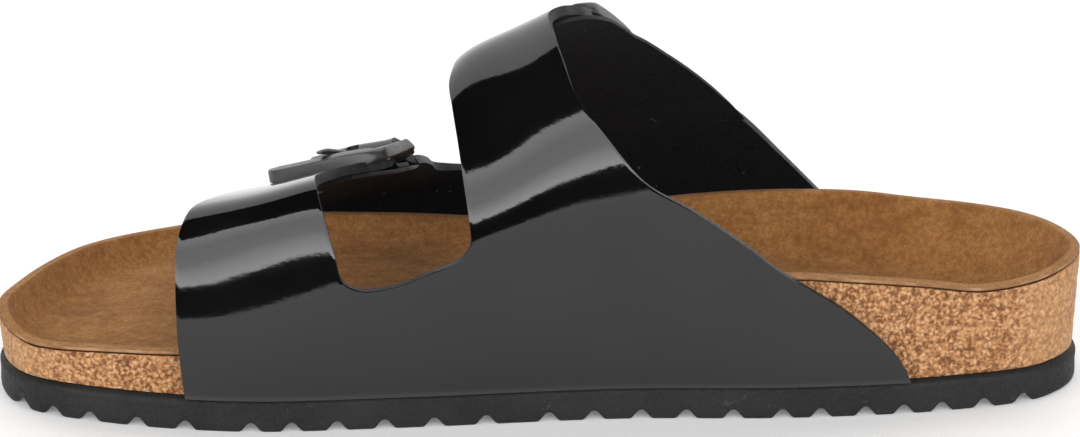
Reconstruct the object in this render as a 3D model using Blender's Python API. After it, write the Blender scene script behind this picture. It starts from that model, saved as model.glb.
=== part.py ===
"""Two-strap slide sandal: notched outsole, cork footbed, suede lining, upper in two pieces, two buckles.

Right foot. The toe points to -X, the inner side faces -Y and the sole stands on z = 0.
Tables and sizes are in millimetres.
"""
import functools
import math

import bpy
import numpy as np

MM = 0.001
CENTRE = (0.28, -1.45)
GAP = 0.3

# Edge of the outsole from above: heel back, outer side, toe tip, inner side (x, y).
OUTLINE = (
    (128.3, -8.0), (123.2, 9.5), (108.5, 23.8), (84.0, 32.4), (50.0, 36.0), (8.0, 40.0), (-38.0, 47.8),
    (-68.0, 46.0), (-92.0, 35.5), (-113.5, 18.4), (-125.0, -7.5), (-127.5, -23.5), (-120.0, -38.5),
    (-98.0, -47.2), (-67.0, -51.0), (-30.0, -47.0), (20.0, -39.5), (62.0, -37.0), (98.0, -30.8),
    (120.0, -22.0),
)
TOE_ROW = 11

# Outsole: thickness, depth of the tread grooves, and where each groove meets the inner edge (x).
OUTSOLE_T = 8.5
GROOVE_DEPTH = 2.2
GROOVE_FLOOR = 1.6
GROOVE_RAMP = 1.3
GROOVE_WAVE = 2.6
GROOVES = (
    -120.5, -112.5, -103.5, -92.0, -80.5, -65.0, -55.5, -45.0, -34.0, -22.5, -10.5, 4.0, 14.5, 25.5, 36.0,
    47.0, 58.5, 67.5, 78.0, 87.0, 96.0, 106.0, 115.5,
)
TREAD_COLUMNS = 7

# Footbed along the foot: x, rim height on the inner side, rim height on the outer side, floor height.
BED = (
    (-128.0, 20.5, 20.5, 13.6),
    (-116.0, 18.2, 19.6, 12.6),
    (-100.0, 18.9, 19.4, 12.8),
    (-83.0, 19.6, 19.2, 13.4),
    (-50.0, 23.0, 19.0, 12.8),
    (-20.0, 28.0, 19.6, 14.6),
    (10.0, 33.0, 24.4, 17.4),
    (36.0, 36.0, 29.2, 18.4),
    (60.0, 35.7, 31.6, 17.4),
    (75.0, 34.5, 32.0, 16.8),
    (92.0, 32.5, 31.6, 16.6),
    (105.0, 30.6, 31.8, 17.2),
    (118.0, 31.6, 32.6, 18.4),
    (128.5, 33.2, 33.2, 19.6),
)
LINING_T = 1.2
CORK_INSET = 1.0
END_FLARE = 1.0
FLARE_FROM = 88.0
RIM_LIP = 3.0
WALL_RUN = 14.0
RING_INSETS = (0.0, 0.7, 2.8, 5.2, 8.0, 11.5, 17.0)
RING_POINTS = 80

# Upper along the foot: x, crest height, crest y, squareness of the inner and of the outer side, and how far
# the straight foot of the inner and of the outer side rises over the rim.
UPPER = (
    (-100.0, 46.3, -38.5, 1.66, 1.20, 0.0, 1.0),
    (-76.0, 52.2, -39.5, 1.60, 1.18, 0.0, 1.0),
    (-63.0, 55.5, -41.2, 1.54, 1.17, 0.6, 2.2),
    (-52.0, 58.7, -40.6, 1.54, 1.16, 3.0, 4.5),
    (-45.0, 60.2, -39.5, 1.54, 1.17, 6.0, 6.5),
    (-33.0, 61.6, -37.0, 1.56, 1.19, 8.5, 8.0),
    (-20.0, 79.8, -14.0, 1.65, 1.38, 11.8, 10.0),
    (-6.0, 86.2, -9.0, 1.72, 1.40, 14.0, 10.0),
    (7.0, 92.8, -8.6, 1.80, 1.42, 14.0, 10.0),
    (22.0, 97.6, -7.0, 1.84, 1.45, 13.0, 10.0),
    (40.0, 101.5, -6.0, 1.87, 1.50, 11.0, 9.0),
    (60.0, 104.5, -4.5, 1.90, 1.55, 8.0, 6.0),
    (95.0, 106.0, -2.5, 2.00, 1.62, 3.0, 3.0),
)
WALL_STEP = 1.0
WALL_SOFTENING = 4.0
UPPER_T = 2.4
UPPER_BASE = OUTSOLE_T + GAP
UPPER_PROUD = UPPER_T + 2.0 * GAP - CORK_INSET

# Flat patterns: x along the foot and girth from the base of the same side.
INNER_FRONT_EDGE = ((-80.0, 0.0), (-81.2, 12.0), (-81.8, 24.0), (-81.9, 28.5))
INNER_REAR_EDGE = (
    (88.3, 0.0), (86.9, 3.5), (84.0, 7.7), (78.0, 13.8), (71.4, 19.4), (57.6, 28.5), (47.6, 36.4),
)
INNER_CUTOUT = (
    (-43.3, 29.0), (-41.3, 27.5), (-37.9, 26.5), (-30.0, 27.7), (-23.1, 30.4), (-16.3, 33.2), (-14.0, 36.5),
)
OUTER_FRONT_EDGE = ((-62.0, 0.0), (-61.3, 7.0), (-60.0, 13.5))
OUTER_REAR_EDGE = ((86.0, 0.0), (82.0, 6.0), (75.0, 14.2), (67.5, 21.5))
OUTER_CUTOUT = ((-28.2, 27.0), (-25.4, 24.6), (-20.0, 23.8), (-15.5, 25.2), (-12.0, 28.0))

# A row per fold of each strap: front edge x, girth, then rear edge x, girth.
INNER_FRONT_STRAP = (
    (-81.9, 28.5, -43.3, 29.0),
    (-82.0, 34.8, -45.1, 35.2),
    (-81.2, 40.0, -46.6, 40.3),
    (-79.8, 45.2, -48.0, 45.0),
    (-78.2, 50.2, -49.5, 50.5),
    (-76.4, 56.0, -50.4, 55.5),
    (-73.0, 65.5, -50.6, 63.5),
    (-68.3, 77.5, -48.0, 74.5),
)
INNER_REAR_STRAP = (
    (-14.0, 36.5, 47.6, 36.4),
    (-14.3, 42.5, 36.3, 44.1),
    (-15.6, 50.5, 26.4, 50.0),
    (-17.2, 60.0, 17.6, 60.3),
    (-18.9, 69.3, 9.9, 70.7),
    (-20.2, 77.5, 6.2, 80.5),
    (-19.6, 85.0, 3.6, 89.0),
    (-18.6, 94.0, 2.4, 98.0),
    (-15.8, 105.5, 6.2, 108.0),
)
OUTER_FRONT_STRAP = (
    (-60.0, 13.5, -28.2, 27.0),
    (-56.8, 22.5, -29.6, 34.0),
)
OUTER_REAR_STRAP = (
    (-12.0, 28.0, 67.5, 21.5),
    (-4.5, 33.0, 57.5, 31.6),
    (1.5, 39.5, 47.5, 42.0),
)
COLUMN_SHARES = (0.0, 0.18, 0.36, 0.43, 0.57, 0.64, 0.82, 1.0)

# Buckles: centre x, girth from the inner base, turn of the strap towards the heel in degrees.
FRONT_BUCKLE = (-48.0, 104.0, 20.0)
REAR_BUCKLE = (4.5, 133.0, 30.0)
BAR_REACH = 10.0
TONGUE_HALF = 11.5
LOOP_HALF = 10.4
STRAP_FLARE = 7.6
TONGUE_TIP = 26.0
TIP_ROUND = 9.0
TIP_RISE = 0.5
LAP_STOPS = (10.0, 13.5, 17.0, 20.0)
PRONG_HOLE = (2.6, 9.2)
FRAME_HALF = 13.6
FRAME_WIDE = 3.0
FRAME_THICK = 3.2
FRAME_LIFT = 2.0
CORNER_R = 2.6
PIN_R = 1.2
PIN_LIFT = 0.7
LOOP_T = 1.4
PRONG_WIDE = 2.4
PRONG_T = 1.2

# Finish of each piece: base colour, roughness, metallic.
FINISHES = {
    "black_foam": ((0.026, 0.027, 0.027), 0.62, 0.0),
    "cork": ((0.50, 0.27, 0.11), 0.85, 0.0),
    "tan_suede": ((0.32, 0.16, 0.065), 0.92, 0.0),
    "black_patent": ((0.008, 0.008, 0.009), 0.12, 0.0),
    "black_metal": ((0.03, 0.03, 0.032), 0.35, 0.0),
}


def path_through(points, closed=False, steps=20):
    """Dense centripetal curve through rows of points."""
    rows = np.array(points, float)
    if closed:
        rows = np.vstack([rows[-1:], rows, rows[:2]])
    else:
        rows = np.vstack([2.0 * rows[0] - rows[1], rows, 2.0 * rows[-1] - rows[-2]])
    out = []
    for a, b, c, d in zip(rows[:-3], rows[1:-2], rows[2:-1], rows[3:]):
        k1 = math.sqrt(np.linalg.norm(b - a))
        k2 = k1 + math.sqrt(np.linalg.norm(c - b))
        k3 = k2 + math.sqrt(np.linalg.norm(d - c))
        for k in np.linspace(k1, k2, steps, endpoint=False):
            ab = a + (b - a) * k / k1
            bc = b + (c - b) * (k - k1) / (k2 - k1)
            cd = c + (d - c) * (k - k2) / (k3 - k2)
            abc = ab + (bc - ab) * k / k2
            bcd = bc + (cd - bc) * (k - k1) / (k3 - k1)
            out.append(abc + (bcd - abc) * (k - k1) / (k2 - k1))
    if not closed:
        out.append(rows[-2])
    return np.array(out)


def spaced(points, shares):
    """Points of a polyline at shares of its length."""
    steps = np.linalg.norm(np.diff(points, axis=0), axis=1)
    run = np.concatenate([[0.0], np.cumsum(steps)])
    at = np.asarray(shares) * run[-1]
    return np.stack([np.interp(at, run, points[:, k]) for k in range(points.shape[1])], axis=1)


def column_at(table, column, x):
    """One column of a table at x, by a cubic that never overshoots its rows."""
    rows = np.array(table)
    xs, ys = rows[:, 0], rows[:, column]
    step = np.diff(xs)
    slope = np.diff(ys) / step
    tangent = np.concatenate([slope[:1], np.zeros(len(xs) - 2), slope[-1:]])
    for i in range(1, len(xs) - 1):
        if slope[i - 1] * slope[i] > 0.0:
            before = 2.0 * step[i] + step[i - 1]
            after = step[i] + 2.0 * step[i - 1]
            tangent[i] = (before + after) / (before / slope[i - 1] + after / slope[i])
    x = np.clip(x, xs[0], xs[-1])
    i = np.clip(np.searchsorted(xs, x) - 1, 0, len(xs) - 2)
    t = (x - xs[i]) / step[i]
    ends = (1.0 + 2.0 * t) * (1.0 - t) ** 2 * ys[i] + t * t * (3.0 - 2.0 * t) * ys[i + 1]
    bends = t * (1.0 - t) ** 2 * tangent[i] + t * t * (t - 1.0) * tangent[i + 1]
    return ends + bends * step[i]


def ease(t):
    """Smooth step from 0 to 1."""
    t = np.clip(t, 0.0, 1.0)
    return t * t * (3.0 - 2.0 * t)


EDGE = path_through(OUTLINE, closed=True)
TOE_AT = TOE_ROW * 20
OUTER_SIDE = EDGE[:TOE_AT + 1]
INNER_SIDE = np.vstack([EDGE[TOE_AT:], EDGE[:1]])[::-1]


def side_y(x, outer):
    """Edge of the outsole at x on one side."""
    side = OUTER_SIDE if outer else INNER_SIDE
    return np.interp(x, side[::-1, 0], side[::-1, 1])


def ring_outline(count):
    """Edge points from the heel round the outer side, toe at half way, with outward normals."""
    shares = np.linspace(0.0, 1.0, count // 2 + 1)
    points = np.vstack([spaced(OUTER_SIDE, shares)[:-1], spaced(INNER_SIDE, shares)[:0:-1]])
    along = np.roll(points, -1, axis=0) - np.roll(points, 1, axis=0)
    along /= np.linalg.norm(along, axis=1)[:, None]
    return points, np.stack([along[:, 1], -along[:, 0]], axis=1)


def rim_height(points):
    """Top of the rim at each edge point."""
    x, y = points[:, 0], points[:, 1]
    inner_y, outer_y = side_y(x, False), side_y(x, True)
    share = ease((y - inner_y) / np.maximum(outer_y - inner_y, 1.0))
    return column_at(BED, 1, x) * (1.0 - share) + column_at(BED, 2, x) * share


def bed_rings(count):
    """Rings of the footbed's top from the rim to the floor."""
    points, normals = ring_outline(count)
    rim = rim_height(points)
    flare = END_FLARE * ease((np.abs(points[:, 0]) - FLARE_FROM) / 30.0)
    rings = []
    for inset in RING_INSETS:
        place = points + normals * (flare - CORK_INSET - inset)[:, None]
        floor = column_at(BED, 3, place[:, 0])
        fall = ease((inset - RIM_LIP) / WALL_RUN)
        drop = 0.5 if inset == 0.0 else 0.0
        rings.append(np.column_stack([place, rim + (floor - rim) * fall - drop]))
    return rings


def add_piece(name, points, faces, finish):
    """One named object from points in millimetres."""
    mesh = bpy.data.meshes.new(name)
    moved = (np.asarray(points) - np.array([CENTRE[0], CENTRE[1], 0.0])) * MM
    mesh.from_pydata([tuple(p) for p in moved], [], faces)
    mesh.update()
    mesh.shade_smooth()
    mesh.materials.append(bpy.data.materials[finish])
    piece = bpy.data.objects.new(name, mesh)
    bpy.context.collection.objects.link(piece)
    return piece


def ladder(first, count, flip):
    """Faces that close a ring by rungs from its outer to its inner side."""
    faces = []
    half = count // 2
    for i in range(half):
        a, b = first + i, first + i + 1
        c, d = first + (count - i - 1) % count, first + (count - i) % count
        face = list(dict.fromkeys([a, b, c, d]))
        faces.append(face[::-1] if flip else face)
    return faces


def ring_body(name, rings, finish):
    """Closed solid through rings that run from the underside's middle out and over to the top's middle."""
    count = len(rings[0])
    points = np.vstack(rings)
    faces = ladder(0, count, True)
    for r in range(len(rings) - 1):
        for i in range(count):
            j = (i + 1) % count
            faces.append([r * count + i, r * count + j, (r + 1) * count + j, (r + 1) * count + i])
    faces += ladder((len(rings) - 1) * count, count, False)
    return add_piece(name, points, faces, finish)


def build_outsole():
    """Flat-topped sole with wavy grooves across its underside that notch both edges."""
    shares = np.linspace(0.0, 1.0, 801)
    inner_x = spaced(INNER_SIDE, shares)[:, 0]
    stations = [(share, 0.0) for share in (0.01, 0.02, 0.032, 0.045, 0.968, 0.98, 0.99)]
    half = GROOVE_FLOOR / 2.0
    for groove in GROOVES:
        for side, depth in ((-half - GROOVE_RAMP, 0.0), (-half, 1.0), (half, 1.0), (half + GROOVE_RAMP, 0.0)):
            share = float(np.interp(-(groove + side), -inner_x, shares))
            stations.append((share, depth * GROOVE_DEPTH))
    stations = sorted(stations)
    at = np.array([s for s, _ in stations])
    depth = np.array([d for _, d in stations])
    outer, inner = spaced(OUTER_SIDE, at), spaced(INNER_SIDE, at)
    across = np.linspace(0.0, 1.0, TREAD_COLUMNS)
    wave = GROOVE_WAVE * np.sin(2.0 * math.pi * across) * ease(np.minimum(at, 1.0 - at) / 0.2)[:, None]
    under = outer[:, None, :] + (inner - outer)[:, None, :] * across[None, :, None]
    under = np.concatenate([under, np.repeat(depth[:, None, None], TREAD_COLUMNS, axis=1)], axis=2)
    under[:, :, 0] += wave
    rows, cols = under.shape[:2]
    heel, toe = OUTER_SIDE[0], OUTER_SIDE[-1]
    edge = np.vstack([heel, outer, toe, inner[::-1]])
    low = np.concatenate([[0.0], depth, [0.0], depth[::-1]])
    points = [np.column_stack([edge, low]), np.column_stack([edge, np.full(len(edge), OUTSOLE_T)])]
    middle = under[:, 1:-1].reshape(-1, 3)
    points = np.vstack(points + [middle])
    n = len(edge)

    def under_at(row, col):
        if col == 0:
            return 1 + row
        if col == cols - 1:
            return n - 1 - row
        return 2 * n + row * (cols - 2) + col - 1

    faces = []
    for r in range(rows - 1):
        for c in range(cols - 1):
            faces.append([under_at(r, c), under_at(r, c + 1), under_at(r + 1, c + 1), under_at(r + 1, c)])
    for c in range(cols - 1):
        faces.append([0, under_at(0, c + 1), under_at(0, c)])
        faces.append([1 + rows, under_at(rows - 1, c), under_at(rows - 1, c + 1)])
    for i in range(n):
        j = (i + 1) % n
        faces.append([i, j, n + j, n + i])
    faces += ladder(n, n, False)
    return add_piece("outsole", points, faces, "black_foam")


def build_cork():
    """Cork block: flat underside, steep sides, cupped top under the lining."""
    points, normals = ring_outline(RING_POINTS)
    top = [r - np.array([0.0, 0.0, LINING_T + GAP]) for r in bed_rings(RING_POINTS)]
    low = np.column_stack([points - normals * CORK_INSET, np.full(RING_POINTS, UPPER_BASE)])
    middle = low * 0.5 + top[0] * 0.5
    return ring_body("cork_footbed", [low, middle] + top, "cork")


def build_lining():
    """Suede skin of even thickness over the cork, its edge showing along the rim."""
    top = bed_rings(RING_POINTS)
    under = [r - np.array([0.0, 0.0, LINING_T]) for r in top]
    return ring_body("footbed_lining", under[::-1] + top, "tan_suede")


def softened(points, spread):
    """Evenly spaced polyline with its corners rounded and its ends kept."""
    reach = int(3.0 * spread / WALL_STEP)
    weights = np.exp(-0.5 * (np.arange(-reach, reach + 1) * WALL_STEP / spread) ** 2)
    before = 2.0 * points[0] - points[reach:0:-1]
    after = 2.0 * points[-1] - points[-2:-reach - 2:-1]
    padded = np.vstack([before, points, after])
    columns = [np.convolve(padded[:, k], weights / weights.sum(), "valid") for k in range(points.shape[1])]
    return np.stack(columns, axis=1)


@functools.lru_cache(maxsize=None)
def section(x, count=120):
    """Outer wall of the upper at x from the inner base over the crest to the outer base: y, z, girth."""
    crest, crest_y = column_at(UPPER, 1, x), column_at(UPPER, 2, x)
    turn = np.linspace(0.0, math.pi / 2.0, count)
    sides = []
    for outer in (0, 1):
        foot_y = side_y(x, outer) + (UPPER_PROUD if outer else -UPPER_PROUD)
        spring = column_at(BED, 1 + outer, x) + column_at(UPPER, 5 + outer, x)
        power = 2.0 / column_at(UPPER, 3 + outer, x)
        y = crest_y + (foot_y - crest_y) * np.abs(np.cos(turn)) ** power
        z = spring + (crest - spring) * np.sin(turn) ** power
        y[-1] = crest_y
        sides.append(np.column_stack([np.append(foot_y, y), np.append(UPPER_BASE, z)]))
    wall = np.vstack([sides[0], sides[1][-2::-1]])
    length = np.linalg.norm(np.diff(wall, axis=0), axis=1).sum()
    wall = softened(spaced(wall, np.linspace(0.0, 1.0, int(length / WALL_STEP) + 1)), WALL_SOFTENING)
    girth = np.concatenate([[0.0], np.cumsum(np.linalg.norm(np.diff(wall, axis=0), axis=1))])
    return wall[:, 0], wall[:, 1], girth


def wall_point(x, girth):
    """Point on the upper's outer wall at x and girth from the inner base."""
    y, z, run = section(x)
    return np.array([x, np.interp(girth, run, y), np.interp(girth, run, z)])


def wall_frame(x, girth):
    """Point, tangents along x and girth, and outward normal of the upper's wall."""
    along = (wall_point(x + 0.5, girth) - wall_point(x - 0.5, girth))
    up = (wall_point(x, girth + 0.5) - wall_point(x, girth - 0.5))
    normal = np.cross(along, up)
    return wall_point(x, girth), along, up, normal / np.linalg.norm(normal)


def lifted(x, girth, lift):
    """Point at a height above the upper's outer wall."""
    point, _, _, normal = wall_frame(x, girth)
    return point + normal * lift


class Buckle:
    """Place of one buckle on the wall: s runs along the strap to the outer side, w towards the heel."""

    def __init__(self, row):
        self.x, self.girth, turn = row
        _, along, up, normal = wall_frame(self.x, self.girth)
        reach = np.linalg.norm(up)
        side = np.cross(normal, up / reach)
        if side[0] < 0.0:
            side = -side
        angle = math.radians(turn)
        strap = up / reach * math.cos(angle) + side * math.sin(angle)
        cross = side * math.cos(angle) - up / reach * math.sin(angle)
        plane = np.column_stack([along, up])
        self.strap = np.linalg.lstsq(plane, strap, rcond=None)[0]
        self.cross = np.linalg.lstsq(plane, cross, rcond=None)[0]

    def flat(self, s, w):
        """Pattern place (x, girth) of s and w."""
        return np.array([self.x, self.girth]) + s * self.strap + w * self.cross

    def point(self, s, w, lift):
        """Point in space of s, w and a height above the wall."""
        x, girth = self.flat(s, w)
        return lifted(x, girth, lift)


def loop_height(s):
    """Outer face of the short strap where it climbs over the hinge bar."""
    return (PIN_LIFT + PIN_R + GAP + LOOP_T) * (1.0 - ease((s - BAR_REACH) / 12.0))


def tongue_height(s):
    """Inner face of the tongue: flat under the near bar, over the hinge bar, then down on the short strap."""
    if s < BAR_REACH:
        return -UPPER_T + (loop_height(BAR_REACH) + GAP + UPPER_T) * ease((s - BAR_REACH + 12.0) / 11.0)
    return loop_height(s) + GAP + TIP_RISE * ease((s - LAP_STOPS[2]) / 6.0)


def fill(bottom, top, left, right):
    """Grid of pattern points between four edges."""
    n, m = len(bottom), len(left)
    u = np.linspace(0.0, 1.0, n)[None, :, None]
    v = np.linspace(0.0, 1.0, m)[:, None, None]
    ruled = bottom[None] * (1.0 - v) + top[None] * v + left[:, None] * (1.0 - u) + right[:, None] * u
    low = bottom[0] * (1.0 - u) + bottom[-1] * u
    high = top[0] * (1.0 - u) + top[-1] * u
    return ruled - low * (1.0 - v) - high * v


def row_between(front, rear):
    """Points from a strap's front edge to its rear edge."""
    share = np.array(COLUMN_SHARES)[:, None]
    return np.asarray(front) * (1.0 - share) + np.asarray(rear) * share


def panel_cells(front_edge, rear_edge, cutout, front_row, rear_row):
    """Pattern grid of a side panel from its base to the feet of its straps."""
    middle = spaced(path_through(cutout), np.linspace(0.0, 1.0, 9))
    top = np.vstack([front_row, middle[1:-1], rear_row])
    run = np.linalg.norm(np.diff(top, axis=0), axis=1)
    share = np.concatenate([[0.0], np.cumsum(run)]) / run.sum()
    left = spaced(path_through(front_edge), np.linspace(0.0, 1.0, 6))
    right = spaced(path_through(rear_edge), np.linspace(0.0, 1.0, 6))
    bottom = left[0] * (1.0 - share[:, None]) + right[0] * share[:, None]
    return fill(bottom, top, left, right)


def both_faces(grid, lift=0.0):
    """Outer and inner pattern places of a grid lying on the wall."""
    high = np.full(grid.shape[:2] + (1,), lift)
    return np.concatenate([grid, high, grid, high - UPPER_T], axis=2)


def from_inner_base(grid):
    """Same grid with girths counted from the inner base instead of the outer one."""
    out = np.array(grid, float)
    for place in out.reshape(-1, out.shape[-1]):
        place[1] = section(place[0])[2][-1] - place[1]
    return out


def tongue_rows(buckle):
    """Stops along a tongue from the near bar to its rounded tip, and the row at each."""
    stops = (-13.0, -8.0, -1.5, PRONG_HOLE[0], 4.8, 7.0, PRONG_HOLE[1]) + LAP_STOPS
    stops += (22.0, 24.0, 25.3, TONGUE_TIP)
    rows = []
    for s in stops:
        past = max(0.0, (s - TONGUE_TIP + TIP_ROUND) / TIP_ROUND)
        half = TONGUE_HALF * (0.45 + 0.55 * math.sqrt(max(0.0, 1.0 - past * past)))
        low = tongue_height(s)
        flat = row_between(buckle.flat(s, -half), buckle.flat(s, half))
        lift = np.full((len(flat), 1), low + UPPER_T)
        rows.append(np.concatenate([flat, lift, flat, lift - UPPER_T], axis=1))
    return stops, rows


def loop_rows(buckle, flare):
    """Rows of a short strap's end: over the hinge bar, round it and back beneath."""
    outline = []
    for s in LAP_STOPS[:0:-1]:
        thick = LOOP_T + (UPPER_T - LOOP_T) * ease((s - BAR_REACH) / 8.0)
        wide = LOOP_HALF + flare * ease((s - LAP_STOPS[1]) / 8.0)
        outline.append((s, loop_height(s), s, loop_height(s) - thick, wide))
    inner_r = PIN_R + GAP
    outer_r = inner_r + LOOP_T
    for degrees in range(90, 271, 30):
        c, q = math.cos(math.radians(degrees)), math.sin(math.radians(degrees))
        far, near = BAR_REACH + c * outer_r, BAR_REACH + c * inner_r
        outline.append((far, PIN_LIFT + q * outer_r, near, PIN_LIFT + q * inner_r, LOOP_HALF))
    for s in (BAR_REACH + 3.0, BAR_REACH + 5.0):
        outline.append((s, PIN_LIFT - outer_r, s, PIN_LIFT - inner_r, LOOP_HALF))
    rows = []
    for so, ho, si, hi, wide in outline:
        outer = row_between(buckle.flat(so, -LOOP_HALF), buckle.flat(so, wide))
        inner = row_between(buckle.flat(si, -LOOP_HALF), buckle.flat(si, wide))
        high = np.full((len(outer), 1), 1.0)
        rows.append(np.concatenate([outer, high * ho, inner, high * hi], axis=1))
    return rows


def strap_rows(table, first_end_row, counts, outer):
    """Rows of a strap on the wall between its foot and its end piece."""
    folds = np.array(table, float)
    if outer:
        folds = np.hstack([from_inner_base(folds[:, :2]), from_inner_base(folds[:, 2:])])
    folds = np.vstack([folds, np.concatenate([first_end_row[0, :2], first_end_row[-1, :2]])])
    dense = path_through(folds)
    picked = spaced(dense, np.linspace(0.0, 1.0, counts))[:-1]
    rows = [row_between(r[:2], r[2:]) for r in picked]
    return list(both_faces(np.stack(rows)))


def sheet(name, blocks, holes):
    """Closed solid from blocks of outer and inner pattern places, with some cells left out."""
    lookup, outer_points, inner_points, cells = {}, [], [], []
    for b, block in enumerate(blocks):
        index = np.zeros(block.shape[:2], int)
        for r in range(block.shape[0]):
            for c in range(block.shape[1]):
                key = tuple(np.round(block[r, c], 3))
                if key not in lookup:
                    lookup[key] = len(outer_points)
                    xo, go, ho, xi, gi, hi = block[r, c]
                    outer_points.append(lifted(xo, go, ho))
                    inner_points.append(lifted(xi, gi, hi))
                index[r, c] = lookup[key]
        for r in range(block.shape[0] - 1):
            for c in range(block.shape[1] - 1):
                if (b, r, c) not in holes:
                    cells.append([index[r, c], index[r, c + 1], index[r + 1, c + 1], index[r + 1, c]])
    n = len(outer_points)
    faces, borders = [], {}
    for cell in cells:
        cell = [int(i) for i in cell]
        faces.append(cell)
        faces.append([i + n for i in reversed(cell)])
        for a, b in zip(cell, cell[1:] + cell[:1]):
            if (b, a) in borders:
                del borders[(b, a)]
            else:
                borders[(a, b)] = True
    faces += [[b, a, a + n, b + n] for a, b in borders]
    return add_piece(name, outer_points + inner_points, faces, "black_patent")


def build_upper_inner(front, rear):
    """Inner panel with its two long straps, each ending in a holed tongue."""
    blocks, holes = [], set()
    feet = []
    for table, buckle, counts in ((INNER_FRONT_STRAP, front, 13), (INNER_REAR_STRAP, rear, 17)):
        stops, ends = tongue_rows(buckle)
        rows = strap_rows(table, ends[0], counts, False)
        first = len(rows)
        feet.append(rows[0][:, :2])
        for k, s in enumerate(stops[:-1]):
            if s >= PRONG_HOLE[0] and stops[k + 1] <= PRONG_HOLE[1]:
                holes.add((len(blocks), first + k, 3))
        blocks.append(np.stack(rows + ends))
    panel = panel_cells(INNER_FRONT_EDGE, INNER_REAR_EDGE, INNER_CUTOUT, feet[0], feet[1])
    blocks.append(both_faces(panel))
    return sheet("upper_medial", blocks, holes)


def build_upper_outer(front, rear):
    """Outer panel with its two short straps, each folded round a hinge bar."""
    blocks, holes = [], set()
    feet = []
    plans = ((OUTER_FRONT_STRAP, front, 6, 0.0), (OUTER_REAR_STRAP, rear, 10, STRAP_FLARE))
    for table, buckle, counts, flare in plans:
        ends = loop_rows(buckle, flare)
        rows = strap_rows(table, ends[0], counts, True)
        first = len(rows)
        feet.append(row_between(table[0][:2], table[0][2:]))
        for k in range(2, len(ends) - 2):
            holes.add((len(blocks), first + k, 3))
        rows[0] = both_faces(from_inner_base(feet[-1])[None])[0]
        blocks.append(np.stack(rows + ends))
    panel = panel_cells(OUTER_FRONT_EDGE, OUTER_REAR_EDGE, OUTER_CUTOUT, feet[0], feet[1])
    blocks.append(both_faces(from_inner_base(panel)))
    return sheet("upper_lateral", [b[:, ::-1] for b in blocks], holes)


def tube(name, stations, sides, closed, finish):
    """Solid swept through stations, each a ring of points."""
    points = np.vstack(stations)
    count = len(stations)
    faces = []
    for r in range(count if closed else count - 1):
        q = (r + 1) % count
        for i in range(sides):
            j = (i + 1) % sides
            faces.append([r * sides + i, r * sides + j, q * sides + j, q * sides + i])
    if not closed:
        faces.append(list(range(sides))[::-1])
        faces.append([(count - 1) * sides + i for i in range(sides)])
    return add_piece(name, points, faces, finish)


def build_frame(name, buckle):
    """Rectangular frame: a flat near bar, two arms and a thin round hinge bar."""
    turns = []
    for cs, cw, begin in ((-1, -1, 270), (-1, 1, 180), (1, 1, 90), (1, -1, 360)):
        for step in range(4):
            angle = math.radians(begin - 30 * step)
            s = cs * (BAR_REACH - CORNER_R) + CORNER_R * math.cos(angle)
            w = cw * (FRAME_HALF - CORNER_R) + CORNER_R * math.sin(angle)
            turns.append(np.array([s, w, math.cos(angle), math.sin(angle)]))
    path = []
    for k, here in enumerate(turns):
        path.append(here)
        if k % 4 == 3:
            there = turns[(k + 1) % len(turns)]
            path += [here + (there - here) * share for share in (0.25, 0.5, 0.75)]
    stations = []
    for s, w, ns, nw in path:
        hinge = ease((s - BAR_REACH + CORNER_R) / CORNER_R)
        half_w = FRAME_WIDE / 2.0 + (PIN_R - FRAME_WIDE / 2.0) * hinge
        half_h = FRAME_THICK / 2.0 + (PIN_R - FRAME_THICK / 2.0) * hinge
        lift = FRAME_LIFT + (PIN_LIFT - FRAME_LIFT) * hinge
        ring = []
        for k in range(12):
            turn = -2.0 * math.pi * k / 12.0
            c, q = math.cos(turn), math.sin(turn)
            power = 0.55 + 0.45 * hinge
            out = half_w * math.copysign(abs(c) ** power, c)
            up = half_h * math.copysign(abs(q) ** power, q)
            ring.append(buckle.point(s + ns * out, w + nw * out, lift + up))
        stations.append(ring)
    return tube(name, stations, 12, True, "black_metal")


def build_prong(name, buckle):
    """Prong curled round the hinge bar, with its tip resting over the near bar."""
    middle_r = PIN_R + GAP + PRONG_T / 2.0
    path = []
    for degrees in range(-120, 91, 30):
        angle = math.radians(degrees)
        c, q = math.cos(angle), math.sin(angle)
        path.append((BAR_REACH + middle_r * c, PIN_LIFT + middle_r * q, c, q))
    tip_lift = FRAME_LIFT + FRAME_THICK / 2.0 + GAP + PRONG_T / 2.0
    hinge_lift = PIN_LIFT + middle_r
    for share in (0.35, 0.7, 0.92, 1.0):
        s = BAR_REACH + (-2.0 * BAR_REACH - 1.0) * share
        path.append((s, hinge_lift + (tip_lift - hinge_lift) * min(1.0, share / 0.85), 0.0, 1.0))
    stations = []
    for k, (s, lift, c, q) in enumerate(path):
        half = PRONG_WIDE / 2.0 * (0.6 if k == len(path) - 1 else 1.0)
        thick = PRONG_T / 2.0 * (0.6 if k == len(path) - 1 else 1.0)
        ring = []
        for w, up in ((half, -thick), (half, thick), (-half, thick), (-half, -thick)):
            ring.append(buckle.point(s + c * up, w, lift + q * up))
        stations.append(ring)
    return tube(name, stations, 4, False, "black_metal")


def make_finishes():
    """One surface per material of the sandal."""
    for name, (colour, rough, metal) in FINISHES.items():
        finish = bpy.data.materials.new(name)
        finish.use_nodes = True
        shader = finish.node_tree.nodes["Principled BSDF"]
        shader.inputs["Base Color"].default_value = (*colour, 1.0)
        shader.inputs["Roughness"].default_value = rough
        shader.inputs["Metallic"].default_value = metal


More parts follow.
